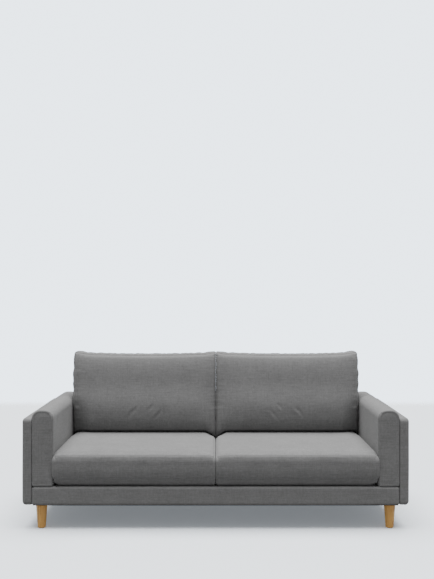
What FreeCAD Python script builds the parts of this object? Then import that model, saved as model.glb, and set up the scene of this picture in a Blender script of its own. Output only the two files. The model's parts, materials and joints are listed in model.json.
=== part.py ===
"""A sofa with two seat cushions and two back cushions, on four turned wooden legs.

Every piece is its own solid, in a file named after it. Sizes are in millimetres.
X runs across the sofa, with +X to the right as seen from the front. Y runs from the front to
the back. Z is up. The origin is on the floor, at the middle of the sofa's overall box.
"Left" is the -X side. The right side is modelled, and the left side is its mirror image.
"""

import FreeCAD
import Part
import math
import os
from FreeCAD import Vector

# ---------------------------------------------------------------- overall sizes
WIDTH = 2000.0               # over the two outer side panels
DEPTH = 900.0                # front of the seat cushions to the rear face
HEIGHT = 862.0               # floor to the top of the back cushions
LEG_HEIGHT = 125.0           # floor to the underside of the base
BASE_HEIGHT = 97.0           # upholstered base, underside to deck
ARM_TOP = 617.0              # floor to the top of the arm pad
SIDE_PANEL_TOP = 577.0       # floor to the top of the outer side panel
BACK_TOP = 613.0             # floor to the top of the back frame's padding

# ---------------------------------------------------------------- upholstery
SIDE_PANEL_THICKNESS = 50.0
ARM_PAD_WIDTH = 110.0        # side panel to the seat
FABRIC = 2.0                 # cover fabric with its thin wadding
CUSHION_OVERHANG = 10.0      # seat cushions proud of the arm fronts
ARM_TOP_RADIUS = 45.0
ARM_EDGE_RADIUS = 14.0
SIDE_EDGE_RADIUS = 15.0
SIDE_INNER_RADIUS = 5.0
BASE_EDGE_RADIUS = 12.0
HEM = 20.0                   # fabric turned under an open edge
BASE_HEM = 45.0              # fabric turned under the base
SIDE_HEM = 30.0              # fabric turned behind the side board
DECK_BORDER = 100.0          # base fabric on top, in front of and behind the deck cloth
DUST_COVER = 1.0
DUST_COVER_INSET = 5.0

# ---------------------------------------------------------------- timber
RAIL_THICKNESS = 28.0
SIDE_RAIL_THICKNESS = 40.0
CENTRE_RAIL_WIDTH = 40.0
CENTRE_RAIL_HEIGHT = 52.0
CORNER_BLOCK = (84.0, 64.0)  # width, depth
BASE_FRONT_FOAM = 16.0
RAIL_DROP = 13.0             # front and rear rail tops below the cover
ARM_FRAME_WIDTH = 60.0
ARM_FRAME_OUTER_FOAM = 6.0
ARM_POST_DEPTH = 40.0
ARM_RAIL_HEIGHT = 30.0
ARM_FRONT_FOAM = 22.0
ARM_REAR_FOAM = 10.0
ARM_TOP_FOAM = 40.0
INNER_PANEL = 3.0
SIDE_BOARD = 15.0
SIDE_BOARD_EDGE_FOAM = 8.0
SIDE_BOARD_TOP_FOAM = 15.0
BACK_TIMBER = 40.0
BACK_REAR_SPACE = 8.0
BACK_TOP_FOAM = 15.0
BACK_SIDE_FOAM = 2.0

# ---------------------------------------------------------------- legs and their fixing
LEG_TOP_RADIUS = 30.0
LEG_FOOT_RADIUS = 21.0
LEG_FOOT_ROUND = 3.0
GLIDE_RADIUS = 14.0
GLIDE_THICKNESS = 3.0
GLIDE_PIN_RADIUS = 1.2
GLIDE_PIN_LENGTH = 12.0
LEG_BOLT_RADIUS = 4.0
LEG_BOLT_IN_LEG = 32.0
LEG_BOLT_IN_BASE = 20.0
INSERT_WALL = 1.8
INSERT_FLANGE_RADIUS = 11.0
INSERT_FLANGE = 1.5
FIT = 0.05                   # radial clearance of a shaft in its hole

# ---------------------------------------------------------------- frame bolts
BOLT_RADIUS = 4.0
BOLT_HEAD_FLATS = 13.0
BOLT_HEAD_HEIGHT = 5.3
NUT_HEIGHT = 6.5
WASHER_RADIUS = 8.0
WASHER_THICKNESS = 1.6
COUNTERBORE_RADIUS = 9.0
COUNTERBORE_DEPTH = 8.0
BOLT_CLEARANCE = 1.0
BOLT_PAST_NUT = 4.0
SIDE_BOLT_IN_BOARD = 12.0
SIDE_BOLT_INSET = 75.0       # from each end of an arm post
BACK_BOLT_INSET = 25.0       # from the end of the shorter of the two posts it joins
ARM_BOLT_INSET = 160.0       # from each end of a side rail

# ---------------------------------------------------------------- seat suspension
SPRING_SPACING = 140.0
SPRING_WIRE_RADIUS = 1.9
SPRING_LOOP_RADIUS = 20.0    # nearest, so that whole waves fit the base
SPRING_BAR = 24.0            # straight length of each cross bar
CLIP_PLATE = 1.5
CLIP_WIDTH = 22.0
CLIP_DEPTH = 16.0
CLIP_COVER = 1.2
TIE_ROD_RADIUS = 1.6
TIE_ROD_SPACING = 300.0
WIRE_GAP = 0.1

# ---------------------------------------------------------------- back suspension
BACK_LEAN = 5.0              # degrees, front face of the back frame's padding
BACK_THICKNESS_AT_DECK = 112.0
WEB_WIDTH = 50.0
WEB_THICKNESS = 2.0
WEB_UPRIGHTS = 10
WEB_CROSSES = 3

# ---------------------------------------------------------------- cushions
CUSHION_SIDE_GAP = 2.0       # to an arm, and to the middle line of the sofa
CUSHION_DECK_GAP = 0.5
CUSHION_STACK_GAP = 0.5      # seat cushion to the back cushion on it
SEAT_CUSHION_HEIGHT = 185.0
SEAT_TOP_RADIUS = 40.0
SEAT_EDGE_RADIUS = 28.0
CUSHION_BACK_GAP = 8.0       # to the back frame's padding, room for the zip slider
BACK_CUSHION_FOOT = 198.0    # thickness where it stands on the seat cushion
BACK_CUSHION_TOP = 164.0     # thickness at its top
BACK_CUSHION_RADIUS = 32.0
FILL_GAP = 1.2               # cover to filling, where the zip tape lies

# ---------------------------------------------------------------- zips
ZIP_LENGTH = 700.0
ZIP_TAPE_WIDTH = 28.0
ZIP_TAPE = 0.8
ZIP_CHAIN_WIDTH = 5.0
ZIP_CHAIN_PROUD = 0.3
ZIP_SLOT = 11.0
ZIP_STOP = 15.0              # slider's middle to the end of the tape
SLIDER_LENGTH = 12.0
SLIDER_GAP = 0.3
SLIDER_WALL = 1.4
PULL_TAB = (8.0, 28.0, 1.2)  # width, length, thickness

# ---------------------------------------------------------------- worked out from the above
SIDE_IN = WIDTH / 2 - SIDE_PANEL_THICKNESS            # inner face of the side panel
SEAT_HALF = SIDE_IN - ARM_PAD_WIDTH                   # inner face of the arm pad
REAR = DEPTH / 2
CUSHION_FRONT = -DEPTH / 2
ARM_FRONT = CUSHION_FRONT + CUSHION_OVERHANG
BASE_TOP = LEG_HEIGHT + BASE_HEIGHT
COVER_BOTTOM = LEG_HEIGHT + DUST_COVER
TIMBER_BOTTOM = COVER_BOTTOM + FABRIC
TIMBER_TOP = BASE_TOP - FABRIC
RAIL_TOP = TIMBER_TOP - RAIL_DROP
RAIL_FRONT = ARM_FRONT + FABRIC + BASE_FRONT_FOAM
RAIL_REAR = REAR - FABRIC
BLOCK_OUT = SIDE_IN - FABRIC
LEG_X = BLOCK_OUT - CORNER_BLOCK[0] / 2
LEG_Y = (RAIL_FRONT + CORNER_BLOCK[1] / 2, RAIL_REAR - CORNER_BLOCK[1] / 2)

ARM_FRAME_X1 = SIDE_IN - FABRIC - ARM_FRAME_OUTER_FOAM
ARM_FRAME_X0 = ARM_FRAME_X1 - ARM_FRAME_WIDTH
ARM_FRAME_Y0 = ARM_FRONT + FABRIC + ARM_FRONT_FOAM
ARM_FRAME_Y1 = REAR - FABRIC - ARM_REAR_FOAM
ARM_FRAME_TOP = ARM_TOP - FABRIC - ARM_TOP_FOAM
ARM_POST_Y = (
    ARM_FRAME_Y0,
    (ARM_FRAME_Y0 + ARM_FRAME_Y1 - ARM_POST_DEPTH) / 2,
    ARM_FRAME_Y1 - ARM_POST_DEPTH,
)
ARM_BOLT_X = (max(ARM_FRAME_X0, BLOCK_OUT - SIDE_RAIL_THICKNESS) + ARM_FRAME_X1) / 2

BACK_SLOPE = math.tan(math.radians(BACK_LEAN))
BACK_FACE_AT_DECK = REAR - BACK_THICKNESS_AT_DECK
BACK_TIMBER_Y1 = REAR - FABRIC - BACK_REAR_SPACE
BACK_TIMBER_Y0 = BACK_TIMBER_Y1 - BACK_TIMBER
BACK_TIMBER_HALF = SEAT_HALF - FABRIC - BACK_SIDE_FOAM
BACK_TIMBER_TOP = BACK_TOP - FABRIC - BACK_TOP_FOAM

SPRING_Z = RAIL_TOP + CLIP_PLATE + WIRE_GAP + SPRING_WIRE_RADIUS
CLIP_TOP = SPRING_Z + SPRING_WIRE_RADIUS + WIRE_GAP + CLIP_COVER
DECK_PAD_BOTTOM = CLIP_TOP
SPRING_FRONT = RAIL_FRONT + RAIL_THICKNESS / 2        # middle of the front rail
SPRING_REAR = RAIL_REAR - RAIL_THICKNESS / 2
SPRING_WAVES = round((SPRING_REAR - SPRING_FRONT) / (2 * SPRING_LOOP_RADIUS))
SPRING_RADIUS = (SPRING_REAR - SPRING_FRONT) / (2 * SPRING_WAVES)
SPRING_COUNT = int((2 * SEAT_HALF - SPRING_BAR - 2 * SPRING_RADIUS) / SPRING_SPACING) + 1

CUSHION_X0 = CUSHION_SIDE_GAP
CUSHION_X1 = SEAT_HALF - CUSHION_SIDE_GAP
SEAT_Z0 = BASE_TOP + CUSHION_DECK_GAP
SEAT_Z1 = SEAT_Z0 + SEAT_CUSHION_HEIGHT
SEAT_Y1 = BACK_FACE_AT_DECK - CUSHION_BACK_GAP
BACK_Z0 = SEAT_Z1 + CUSHION_STACK_GAP


# ---------------------------------------------------------------- helpers
def block(x0, x1, y0, y1, z0, z1):
    return Part.makeBox(x1 - x0, y1 - y0, z1 - z0, Vector(x0, y0, z0))


def rod(start, direction, length, radius):
    return Part.makeCylinder(radius, length, Vector(*start), Vector(*direction))


def hexagon_prism(start, direction, length, flats):
    """A bolt head or nut, its corners in the plane across `direction`."""
    axis = Vector(*direction)
    across = Vector(0, 1, 0) if abs(axis.y) < 0.5 else Vector(1, 0, 0)
    other = axis.cross(across)
    corner = flats / math.sqrt(3)
    points = []
    for i in range(7):
        turn = math.radians(60 * i)
        points.append(Vector(*start) + across * corner * math.cos(turn) + other * corner * math.sin(turn))
    return Part.Face(Part.makePolygon(points)).extrude(axis * length)


def mirrored(shape):
    return shape.mirror(Vector(0, 0, 0), Vector(1, 0, 0))


def edges_on_plane(shape, axis, value):
    """The edges that lie wholly in the plane where `axis` ("X", "Y" or "Z") is `value`."""
    found = []
    for edge in shape.Edges:
        box = edge.BoundBox
        low, high = getattr(box, axis + "Min"), getattr(box, axis + "Max")
        if abs(low - value) < 0.01 and abs(high - value) < 0.01:
            found.append(edge)
    return found


def edges_along(shape, axis, **at):
    """The straight edges along `axis`, at the given coordinates of the other axes."""
    found = []
    for edge in shape.Edges:
        box = edge.BoundBox
        others = [a for a in "XYZ" if a != axis]
        thin = all(getattr(box, a + "Max") - getattr(box, a + "Min") < 0.01 for a in others)
        placed = all(abs(getattr(box, a + "Min") - v) < 0.01 for a, v in at.items())
        if thin and placed:
            found.append(edge)
    return found


def inset_profile(points, inset):
    """Moves each side of a convex outline (y, z), listed anticlockwise, inwards by `inset`."""
    count = len(points)
    lines = []
    for i in range(count):
        (y0, z0), (y1, z1) = points[i], points[(i + 1) % count]
        length = math.hypot(y1 - y0, z1 - z0)
        normal = (-(z1 - z0) / length, (y1 - y0) / length)
        lines.append((normal, normal[0] * y0 + normal[1] * z0 + inset))
    moved = []
    for i in range(count):
        (a, b), c = lines[i - 1]
        (d, e), f = lines[i]
        determinant = a * e - b * d
        moved.append(((c * e - b * f) / determinant, (a * f - c * d) / determinant))
    return moved


def prism(points, x0, x1):
    """A (y, z) outline drawn out along X."""
    corners = [Vector(x0, y, z) for y, z in points]
    return Part.Face(Part.makePolygon(corners + corners[:1])).extrude(Vector(x1 - x0, 0, 0))


def cut_all(shape, tools):
    return shape.cut(Part.makeCompound(tools)) if tools else shape


def export(name, *solids):
    """Writes one file; a group of separate solids shares it."""
    shape = solids[0] if len(solids) == 1 else Part.makeCompound(list(solids))
    if not shape.isValid():
        raise ValueError(name + " isn't a valid shape")
    shape.exportStep(os.path.join("parts", name + ".step"))


def export_pair(name, *right_solids):
    export("right_" + name, *right_solids)
    export("left_" + name, *[mirrored(s) for s in right_solids])


# ---------------------------------------------------------------- base: timber
def base_form(inset):
    """The base's padded outline, `inset` inside the face of its cover."""
    b = block(
        -SIDE_IN + inset, SIDE_IN - inset, ARM_FRONT + inset, REAR - inset,
        COVER_BOTTOM + inset, BASE_TOP - inset,
    )
    return b.makeFillet(BASE_EDGE_RADIUS - inset, b.Edges)


def leg_axes():
    return [(side * LEG_X, y) for side in (-1, 1) for y in LEG_Y]


def insert_hole_radius():
    return LEG_BOLT_RADIUS + INSERT_WALL + FIT


def build_base_timber():
    inner = base_form(FABRIC)
    block_in = BLOCK_OUT - CORNER_BLOCK[0]
    front = block(-block_in, block_in, RAIL_FRONT, RAIL_FRONT + RAIL_THICKNESS, TIMBER_BOTTOM, RAIL_TOP)
    rear = block(-block_in, block_in, RAIL_REAR - RAIL_THICKNESS, RAIL_REAR, TIMBER_BOTTOM, RAIL_TOP)
    export("base_front_rail", front)
    export("base_rear_rail", rear.common(inner))

    side = block(
        BLOCK_OUT - SIDE_RAIL_THICKNESS, BLOCK_OUT,
        RAIL_FRONT + CORNER_BLOCK[1], RAIL_REAR - CORNER_BLOCK[1], TIMBER_BOTTOM, TIMBER_TOP,
    ).common(inner)
    side = cut_all(side, [b["hole"] for b in arm_bolts()] + [b["counterbore"] for b in arm_bolts()])
    export("base_side_rails", side, mirrored(side))

    half = CENTRE_RAIL_WIDTH / 2
    centre = block(
        -half, half, RAIL_FRONT + RAIL_THICKNESS, RAIL_REAR - RAIL_THICKNESS,
        TIMBER_BOTTOM, TIMBER_BOTTOM + CENTRE_RAIL_HEIGHT,
    )
    export("base_centre_rail", centre)

    blocks, inserts = [], []
    for x, y in leg_axes():
        half_x, half_y = CORNER_BLOCK[0] / 2, CORNER_BLOCK[1] / 2
        body = block(x - half_x, x + half_x, y - half_y, y + half_y, TIMBER_BOTTOM, RAIL_TOP).common(inner)
        bore = rod((x, y, TIMBER_BOTTOM), (0, 0, 1), RAIL_TOP - TIMBER_BOTTOM, insert_hole_radius())
        seat = rod((x, y, TIMBER_BOTTOM), (0, 0, 1), INSERT_FLANGE + FIT, INSERT_FLANGE_RADIUS + FIT)
        blocks.append(cut_all(body, [bore, seat]))
        sleeve = rod((x, y, TIMBER_BOTTOM), (0, 0, 1), LEG_BOLT_IN_BASE, LEG_BOLT_RADIUS + INSERT_WALL)
        flange = rod((x, y, TIMBER_BOTTOM), (0, 0, 1), INSERT_FLANGE, INSERT_FLANGE_RADIUS)
        through = rod((x, y, TIMBER_BOTTOM), (0, 0, 1), LEG_BOLT_IN_BASE, LEG_BOLT_RADIUS + FIT)
        inserts.append(sleeve.fuse(flange).cut(through).removeSplitter())
    export("base_corner_blocks", *blocks)
    export("leg_inserts", *inserts)


# ---------------------------------------------------------------- base: covers and padding
def build_base_soft():
    outer, inner = base_form(0), base_form(FABRIC)
    rail_back = RAIL_FRONT + RAIL_THICKNESS
    front_zone = block(-WIDTH, WIDTH, ARM_FRONT, rail_back, COVER_BOTTOM, BASE_TOP)
    under_lip = block(-WIDTH, WIDTH, RAIL_FRONT, rail_back, COVER_BOTTOM, DECK_PAD_BOTTOM)
    export("base_front_foam", inner.common(front_zone).cut(under_lip))

    deck_half = SEAT_HALF - HEM / 2
    deck_y0, deck_y1 = ARM_FRONT + DECK_BORDER, REAR - DECK_BORDER
    deck_hole = block(-deck_half, deck_half, deck_y0, deck_y1, TIMBER_TOP - FABRIC, BASE_TOP + FABRIC)
    floor_hole = block(
        -SIDE_IN + BASE_HEM, SIDE_IN - BASE_HEM, ARM_FRONT + BASE_HEM, REAR - BASE_HEM,
        COVER_BOTTOM - FABRIC, TIMBER_BOTTOM + FABRIC,
    )
    bolt_holes = [b["hole"] for b in arm_bolts()]
    bolt_holes += [mirrored(h) for h in bolt_holes]
    for x, y in leg_axes():
        bolt_holes.append(
            rod((x, y, COVER_BOTTOM - FABRIC), (0, 0, 1), 2 * FABRIC, INSERT_FLANGE_RADIUS + BOLT_CLEARANCE)
        )
    export("base_cover", cut_all(outer.cut(inner), [deck_hole, floor_hole] + bolt_holes))
    export("deck_cloth", block(-deck_half, deck_half, deck_y0, deck_y1, TIMBER_TOP, BASE_TOP))

    pad_half = BLOCK_OUT - SIDE_RAIL_THICKNESS - BOLT_CLEARANCE
    pad_y0, pad_y1 = rail_back + BOLT_CLEARANCE, REAR - BASE_EDGE_RADIUS
    export("deck_pad", block(-pad_half, pad_half, pad_y0, pad_y1, DECK_PAD_BOTTOM, TIMBER_TOP))

    dust_x = SIDE_IN - DUST_COVER_INSET
    dust = block(
        -dust_x, dust_x, ARM_FRONT + DUST_COVER_INSET, REAR - DUST_COVER_INSET, LEG_HEIGHT, COVER_BOTTOM,
    )
    dust = dust.makeFillet(BASE_EDGE_RADIUS, edges_along(dust, "Z"))
    bolt_way = LEG_BOLT_RADIUS + BOLT_CLEARANCE
    holes = [rod((x, y, LEG_HEIGHT), (0, 0, 1), DUST_COVER, bolt_way) for x, y in leg_axes()]
    export("dust_cover", cut_all(dust, holes))


# ---------------------------------------------------------------- legs
def build_legs():
    names = ("leg_front_left", "leg_rear_left", "leg_front_right", "leg_rear_right")
    bolts, glides = [], []
    for name, (x, y) in zip(names, leg_axes()):
        foot = Vector(x, y, GLIDE_THICKNESS)
        leg = Part.makeCone(LEG_FOOT_RADIUS, LEG_TOP_RADIUS, LEG_HEIGHT - GLIDE_THICKNESS, foot)
        leg = leg.makeFillet(LEG_FOOT_ROUND, edges_on_plane(leg, "Z", GLIDE_THICKNESS))
        bolt_hole = rod(
            (x, y, LEG_HEIGHT - LEG_BOLT_IN_LEG - FIT), (0, 0, 1),
            LEG_BOLT_IN_LEG + BOLT_CLEARANCE, LEG_BOLT_RADIUS + FIT,
        )
        pin_hole = rod(
            (x, y, 0), (0, 0, 1), GLIDE_THICKNESS + GLIDE_PIN_LENGTH + FIT, GLIDE_PIN_RADIUS + FIT,
        )
        export(name, cut_all(leg, [bolt_hole, pin_hole]))
        bolts.append(
            rod((x, y, LEG_HEIGHT - LEG_BOLT_IN_LEG), (0, 0, 1),
                LEG_BOLT_IN_LEG + DUST_COVER + FABRIC + LEG_BOLT_IN_BASE, LEG_BOLT_RADIUS)
        )
        disc = Part.makeCylinder(GLIDE_RADIUS, GLIDE_THICKNESS, Vector(x, y, 0))
        disc = disc.makeFillet(GLIDE_THICKNESS / 4, edges_on_plane(disc, "Z", 0))
        pin_base = GLIDE_THICKNESS / 2
        pin = rod((x, y, pin_base), (0, 0, 1), pin_base + GLIDE_PIN_LENGTH, GLIDE_PIN_RADIUS)
        glides.append(disc.fuse(pin).removeSplitter())
    export("leg_bolts", *bolts)
    export("leg_glides", *glides)


# ---------------------------------------------------------------- bolts that hold the units together
def bolt(head_face, direction, length, nut_face=None):
    """A bolt whose head sits on a washer at `head_face` and whose shaft runs `length` along `direction`.

    With `nut_face`, the distance along the shaft where a washer and nut sit, it has those too."""
    d = Vector(*direction)
    start = Vector(*head_face)
    seat = start - d * WASHER_THICKNESS
    head = hexagon_prism(seat - d * BOLT_HEAD_HEIGHT, d, BOLT_HEAD_HEIGHT, BOLT_HEAD_FLATS)
    shaft = rod(seat, d, WASHER_THICKNESS + length, BOLT_RADIUS)
    bore = Part.makeCylinder(BOLT_RADIUS + FIT, length + 4 * NUT_HEIGHT, start - d * 2 * NUT_HEIGHT, d)
    washers = [rod(seat, d, WASHER_THICKNESS, WASHER_RADIUS).cut(bore)]
    nuts = []
    if nut_face is not None:
        washers.append(rod(start + d * nut_face, d, WASHER_THICKNESS, WASHER_RADIUS).cut(bore))
        nut_at = start + d * (nut_face + WASHER_THICKNESS)
        nuts.append(hexagon_prism(nut_at, d, NUT_HEIGHT, BOLT_HEAD_FLATS).cut(bore))
    return {
        "bolt": head.fuse(shaft).removeSplitter(),
        "loose": washers + nuts,
        "hole": rod(start - d, d, length + 1 + FIT, BOLT_RADIUS + BOLT_CLEARANCE),
        "counterbore": rod(start - d * COUNTERBORE_DEPTH * 2, d, COUNTERBORE_DEPTH * 2, COUNTERBORE_RADIUS),
    }


def arm_bolts():
    """Upright bolts: base side rail to the arm's lower rail."""
    z = TIMBER_BOTTOM + COUNTERBORE_DEPTH
    grip = BASE_TOP + ARM_RAIL_HEIGHT - z
    length = grip + WASHER_THICKNESS + NUT_HEIGHT + BOLT_PAST_NUT
    places = (
        RAIL_FRONT + CORNER_BLOCK[1] + ARM_BOLT_INSET,
        RAIL_REAR - CORNER_BLOCK[1] - ARM_BOLT_INSET,
    )
    return [bolt((ARM_BOLT_X, y, z), (0, 0, 1), length, grip) for y in places]


def side_bolts():
    """Level bolts: arm posts to the side panel's board, which they screw into."""
    x = ARM_FRAME_X0 + COUNTERBORE_DEPTH
    length = SIDE_IN + FABRIC + SIDE_BOLT_IN_BOARD - x
    low = BASE_TOP + ARM_RAIL_HEIGHT + SIDE_BOLT_INSET
    high = ARM_FRAME_TOP - ARM_RAIL_HEIGHT - SIDE_BOLT_INSET
    made = []
    for y in (ARM_POST_Y[0], ARM_POST_Y[-1]):
        for z in (low, high):
            made.append(bolt((x, y + ARM_POST_DEPTH / 2, z), (1, 0, 0), length))
    return made


def back_bolts():
    """Level bolts: arm's rear post to the back frame's end post."""
    x = ARM_FRAME_X1 - COUNTERBORE_DEPTH
    grip = x - (BACK_TIMBER_HALF - BACK_TIMBER)
    length = grip + WASHER_THICKNESS + NUT_HEIGHT + BOLT_PAST_NUT
    y = ARM_POST_Y[-1] + ARM_POST_DEPTH / 2
    low = BASE_TOP + max(ARM_RAIL_HEIGHT, BACK_TIMBER) + BACK_BOLT_INSET
    high = min(ARM_FRAME_TOP - ARM_RAIL_HEIGHT, BACK_TIMBER_TOP - BACK_TIMBER) - BACK_BOLT_INSET
    return [bolt((x, y, z), (-1, 0, 0), length, grip) for z in (low, high)]


def build_bolts():
    every = arm_bolts() + side_bolts() + back_bolts()
    shafts = [b["bolt"] for b in every]
    loose = [piece for b in every for piece in b["loose"]]
    export("frame_bolts", *shafts, *[mirrored(s) for s in shafts])
    export("frame_nuts_and_washers", *loose, *[mirrored(s) for s in loose])


# ---------------------------------------------------------------- seat springs
def zigzag_spring():
    """One sinuous spring: cross bars joined by half-circle loops, about x = 0."""
    half, r, z = SPRING_BAR / 2, SPRING_RADIUS, SPRING_Z
    edges = []
    for wave in range(SPRING_WAVES + 1):
        y = SPRING_FRONT + wave * 2 * r
        side = 1 if wave % 2 == 0 else -1
        edges.append(Part.makeLine(Vector(-side * half, y, z), Vector(side * half, y, z)))
        if wave < SPRING_WAVES:
            start, end = Vector(side * half, y, z), Vector(side * half, y + 2 * r, z)
            edges.append(Part.Arc(start, Vector(side * (half + r), y + r, z), end).toShape())
    profile = Part.Wire(Part.makeCircle(SPRING_WIRE_RADIUS, Vector(-half, SPRING_FRONT, z), Vector(1, 0, 0)))
    return Part.Wire(edges).makePipeShell([profile], True, False)


def spring_clip(y):
    """A clip on a rail: a plate with a hood over the spring's end bar, about x = 0."""
    half_w, half_d = CLIP_WIDTH / 2, CLIP_DEPTH / 2
    body = block(-half_w, half_w, y - half_d, y + half_d, RAIL_TOP, CLIP_TOP)
    groove = rod((-half_w, y, SPRING_Z), (1, 0, 0), CLIP_WIDTH, SPRING_WIRE_RADIUS + WIRE_GAP)
    return body.cut(groove)


def build_springs():
    spring = zigzag_spring()
    clips = [spring_clip(SPRING_FRONT), spring_clip(SPRING_REAR)]
    springs, all_clips = [], []
    for i in range(SPRING_COUNT):
        shift = Vector((i - (SPRING_COUNT - 1) / 2) * SPRING_SPACING, 0, 0)
        springs.append(spring.translated(shift))
        all_clips += [clip.translated(shift) for clip in clips]
    export("seat_springs", *springs)
    export("spring_clips", *all_clips)
    reach = BLOCK_OUT - SIDE_RAIL_THICKNESS
    z = SPRING_Z - SPRING_WIRE_RADIUS - WIRE_GAP - TIE_ROD_RADIUS
    middle = (SPRING_FRONT + SPRING_REAR) / 2
    rows = (middle - TIE_ROD_SPACING / 2, middle + TIE_ROD_SPACING / 2)
    export("spring_tie_rods", *[rod((-reach, y, z), (1, 0, 0), 2 * reach, TIE_ROD_RADIUS) for y in rows])


# ---------------------------------------------------------------- arms
def arm_form(inset):
    """The arm pad's outline: upright sides, a well rounded top and soft ends."""
    y0, y1, z1 = ARM_FRONT + inset, REAR - inset, ARM_TOP - inset
    b = block(SEAT_HALF + inset, SIDE_IN - inset, y0, y1, BASE_TOP + inset, z1)
    b = b.makeFillet(ARM_TOP_RADIUS - inset, edges_along(b, "Y", Z=z1))
    ends = edges_on_plane(b, "Y", y0) + edges_on_plane(b, "Y", y1)
    return b.makeFillet(ARM_EDGE_RADIUS - inset, ends)


def build_arms():
    x0, x1, y0, y1 = ARM_FRAME_X0, ARM_FRAME_X1, ARM_FRAME_Y0, ARM_FRAME_Y1
    lower_top, upper_bottom = BASE_TOP + ARM_RAIL_HEIGHT, ARM_FRAME_TOP - ARM_RAIL_HEIGHT
    upright_holes = [b["hole"] for b in arm_bolts()]
    level_holes = [b["hole"] for b in side_bolts() + back_bolts()]
    counterbores = [b["counterbore"] for b in side_bolts() + back_bolts()]

    posts = []
    for y in ARM_POST_Y:
        post = block(x0, x1, y, y + ARM_POST_DEPTH, lower_top, upper_bottom)
        touching = [h for h in level_holes + counterbores if post.common(h).Volume > 1]
        posts.append(cut_all(post, touching))
    export_pair("arm_posts", *posts)

    lower = cut_all(block(x0, x1, y0, y1, BASE_TOP, lower_top), upright_holes)
    upper = block(x0, x1, y0, y1, upper_bottom, ARM_FRAME_TOP)
    export_pair("arm_rails", lower, upper)

    panel = block(x0 - INNER_PANEL, x0, y0, y1, BASE_TOP, ARM_FRAME_TOP)
    export_pair("arm_inner_panel", cut_all(panel, [b["hole"] for b in back_bolts()]))

    outer, inner = arm_form(0), arm_form(FABRIC)
    pocket = block(x0 - INNER_PANEL, x1, y0, y1, BASE_TOP, ARM_FRAME_TOP)
    foam_holes = level_holes + [b["counterbore"] for b in back_bolts()]
    export_pair("arm_foam", cut_all(inner.cut(pocket), foam_holes))

    mouth = block(
        SEAT_HALF + HEM, SIDE_IN - FABRIC, ARM_FRONT + HEM, REAR - FABRIC - ARM_REAR_FOAM,
        BASE_TOP - FABRIC, BASE_TOP + 2 * FABRIC,
    )
    export_pair("arm_cover", cut_all(outer.cut(inner), [mouth] + level_holes))


# ---------------------------------------------------------------- outer side panels
def side_form(inset):
    """The side panel's outline: soft outer edges, and a tighter edge against the arm."""
    x0, x1 = SIDE_IN + inset, WIDTH / 2 - inset
    b = block(x0, x1, ARM_FRONT + inset, REAR - inset, LEG_HEIGHT + inset, SIDE_PANEL_TOP - inset)
    b = b.makeFillet(SIDE_EDGE_RADIUS - inset, edges_along(b, "X") + edges_on_plane(b, "X", x1))
    return b.makeFillet(SIDE_INNER_RADIUS - inset, edges_on_plane(b, "X", x0))


def build_side_panels():
    edge = FABRIC + SIDE_BOARD_EDGE_FOAM
    board = block(
        SIDE_IN + FABRIC, SIDE_IN + FABRIC + SIDE_BOARD, ARM_FRONT + edge, REAR - edge,
        LEG_HEIGHT + edge, SIDE_PANEL_TOP - FABRIC - SIDE_BOARD_TOP_FOAM,
    )
    holes = [b["hole"] for b in side_bolts()]
    outer, inner = side_form(0), side_form(FABRIC)
    window = block(
        SIDE_IN - FABRIC, SIDE_IN + FABRIC, ARM_FRONT + SIDE_HEM, REAR - SIDE_HEM,
        LEG_HEIGHT + SIDE_HEM, SIDE_PANEL_TOP - SIDE_HEM,
    )
    export_pair("side_board", cut_all(board, holes))
    export_pair("side_foam", inner.cut(board))
    export_pair("side_cover", cut_all(outer.cut(inner), [window] + holes))


# ---------------------------------------------------------------- back frame
def back_form(inset):
    """The back frame's padded outline: a wedge whose front face leans back."""
    front_top = BACK_FACE_AT_DECK + BACK_SLOPE * (BACK_TOP - BASE_TOP)
    outline = [(BACK_FACE_AT_DECK, BASE_TOP), (REAR, BASE_TOP), (REAR, BACK_TOP), (front_top, BACK_TOP)]
    b = prism(inset_profile(outline, inset), -SEAT_HALF + inset, SEAT_HALF - inset)
    return b.makeFillet(BASE_EDGE_RADIUS - inset, edges_on_plane(b, "Z", BACK_TOP - inset))


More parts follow.
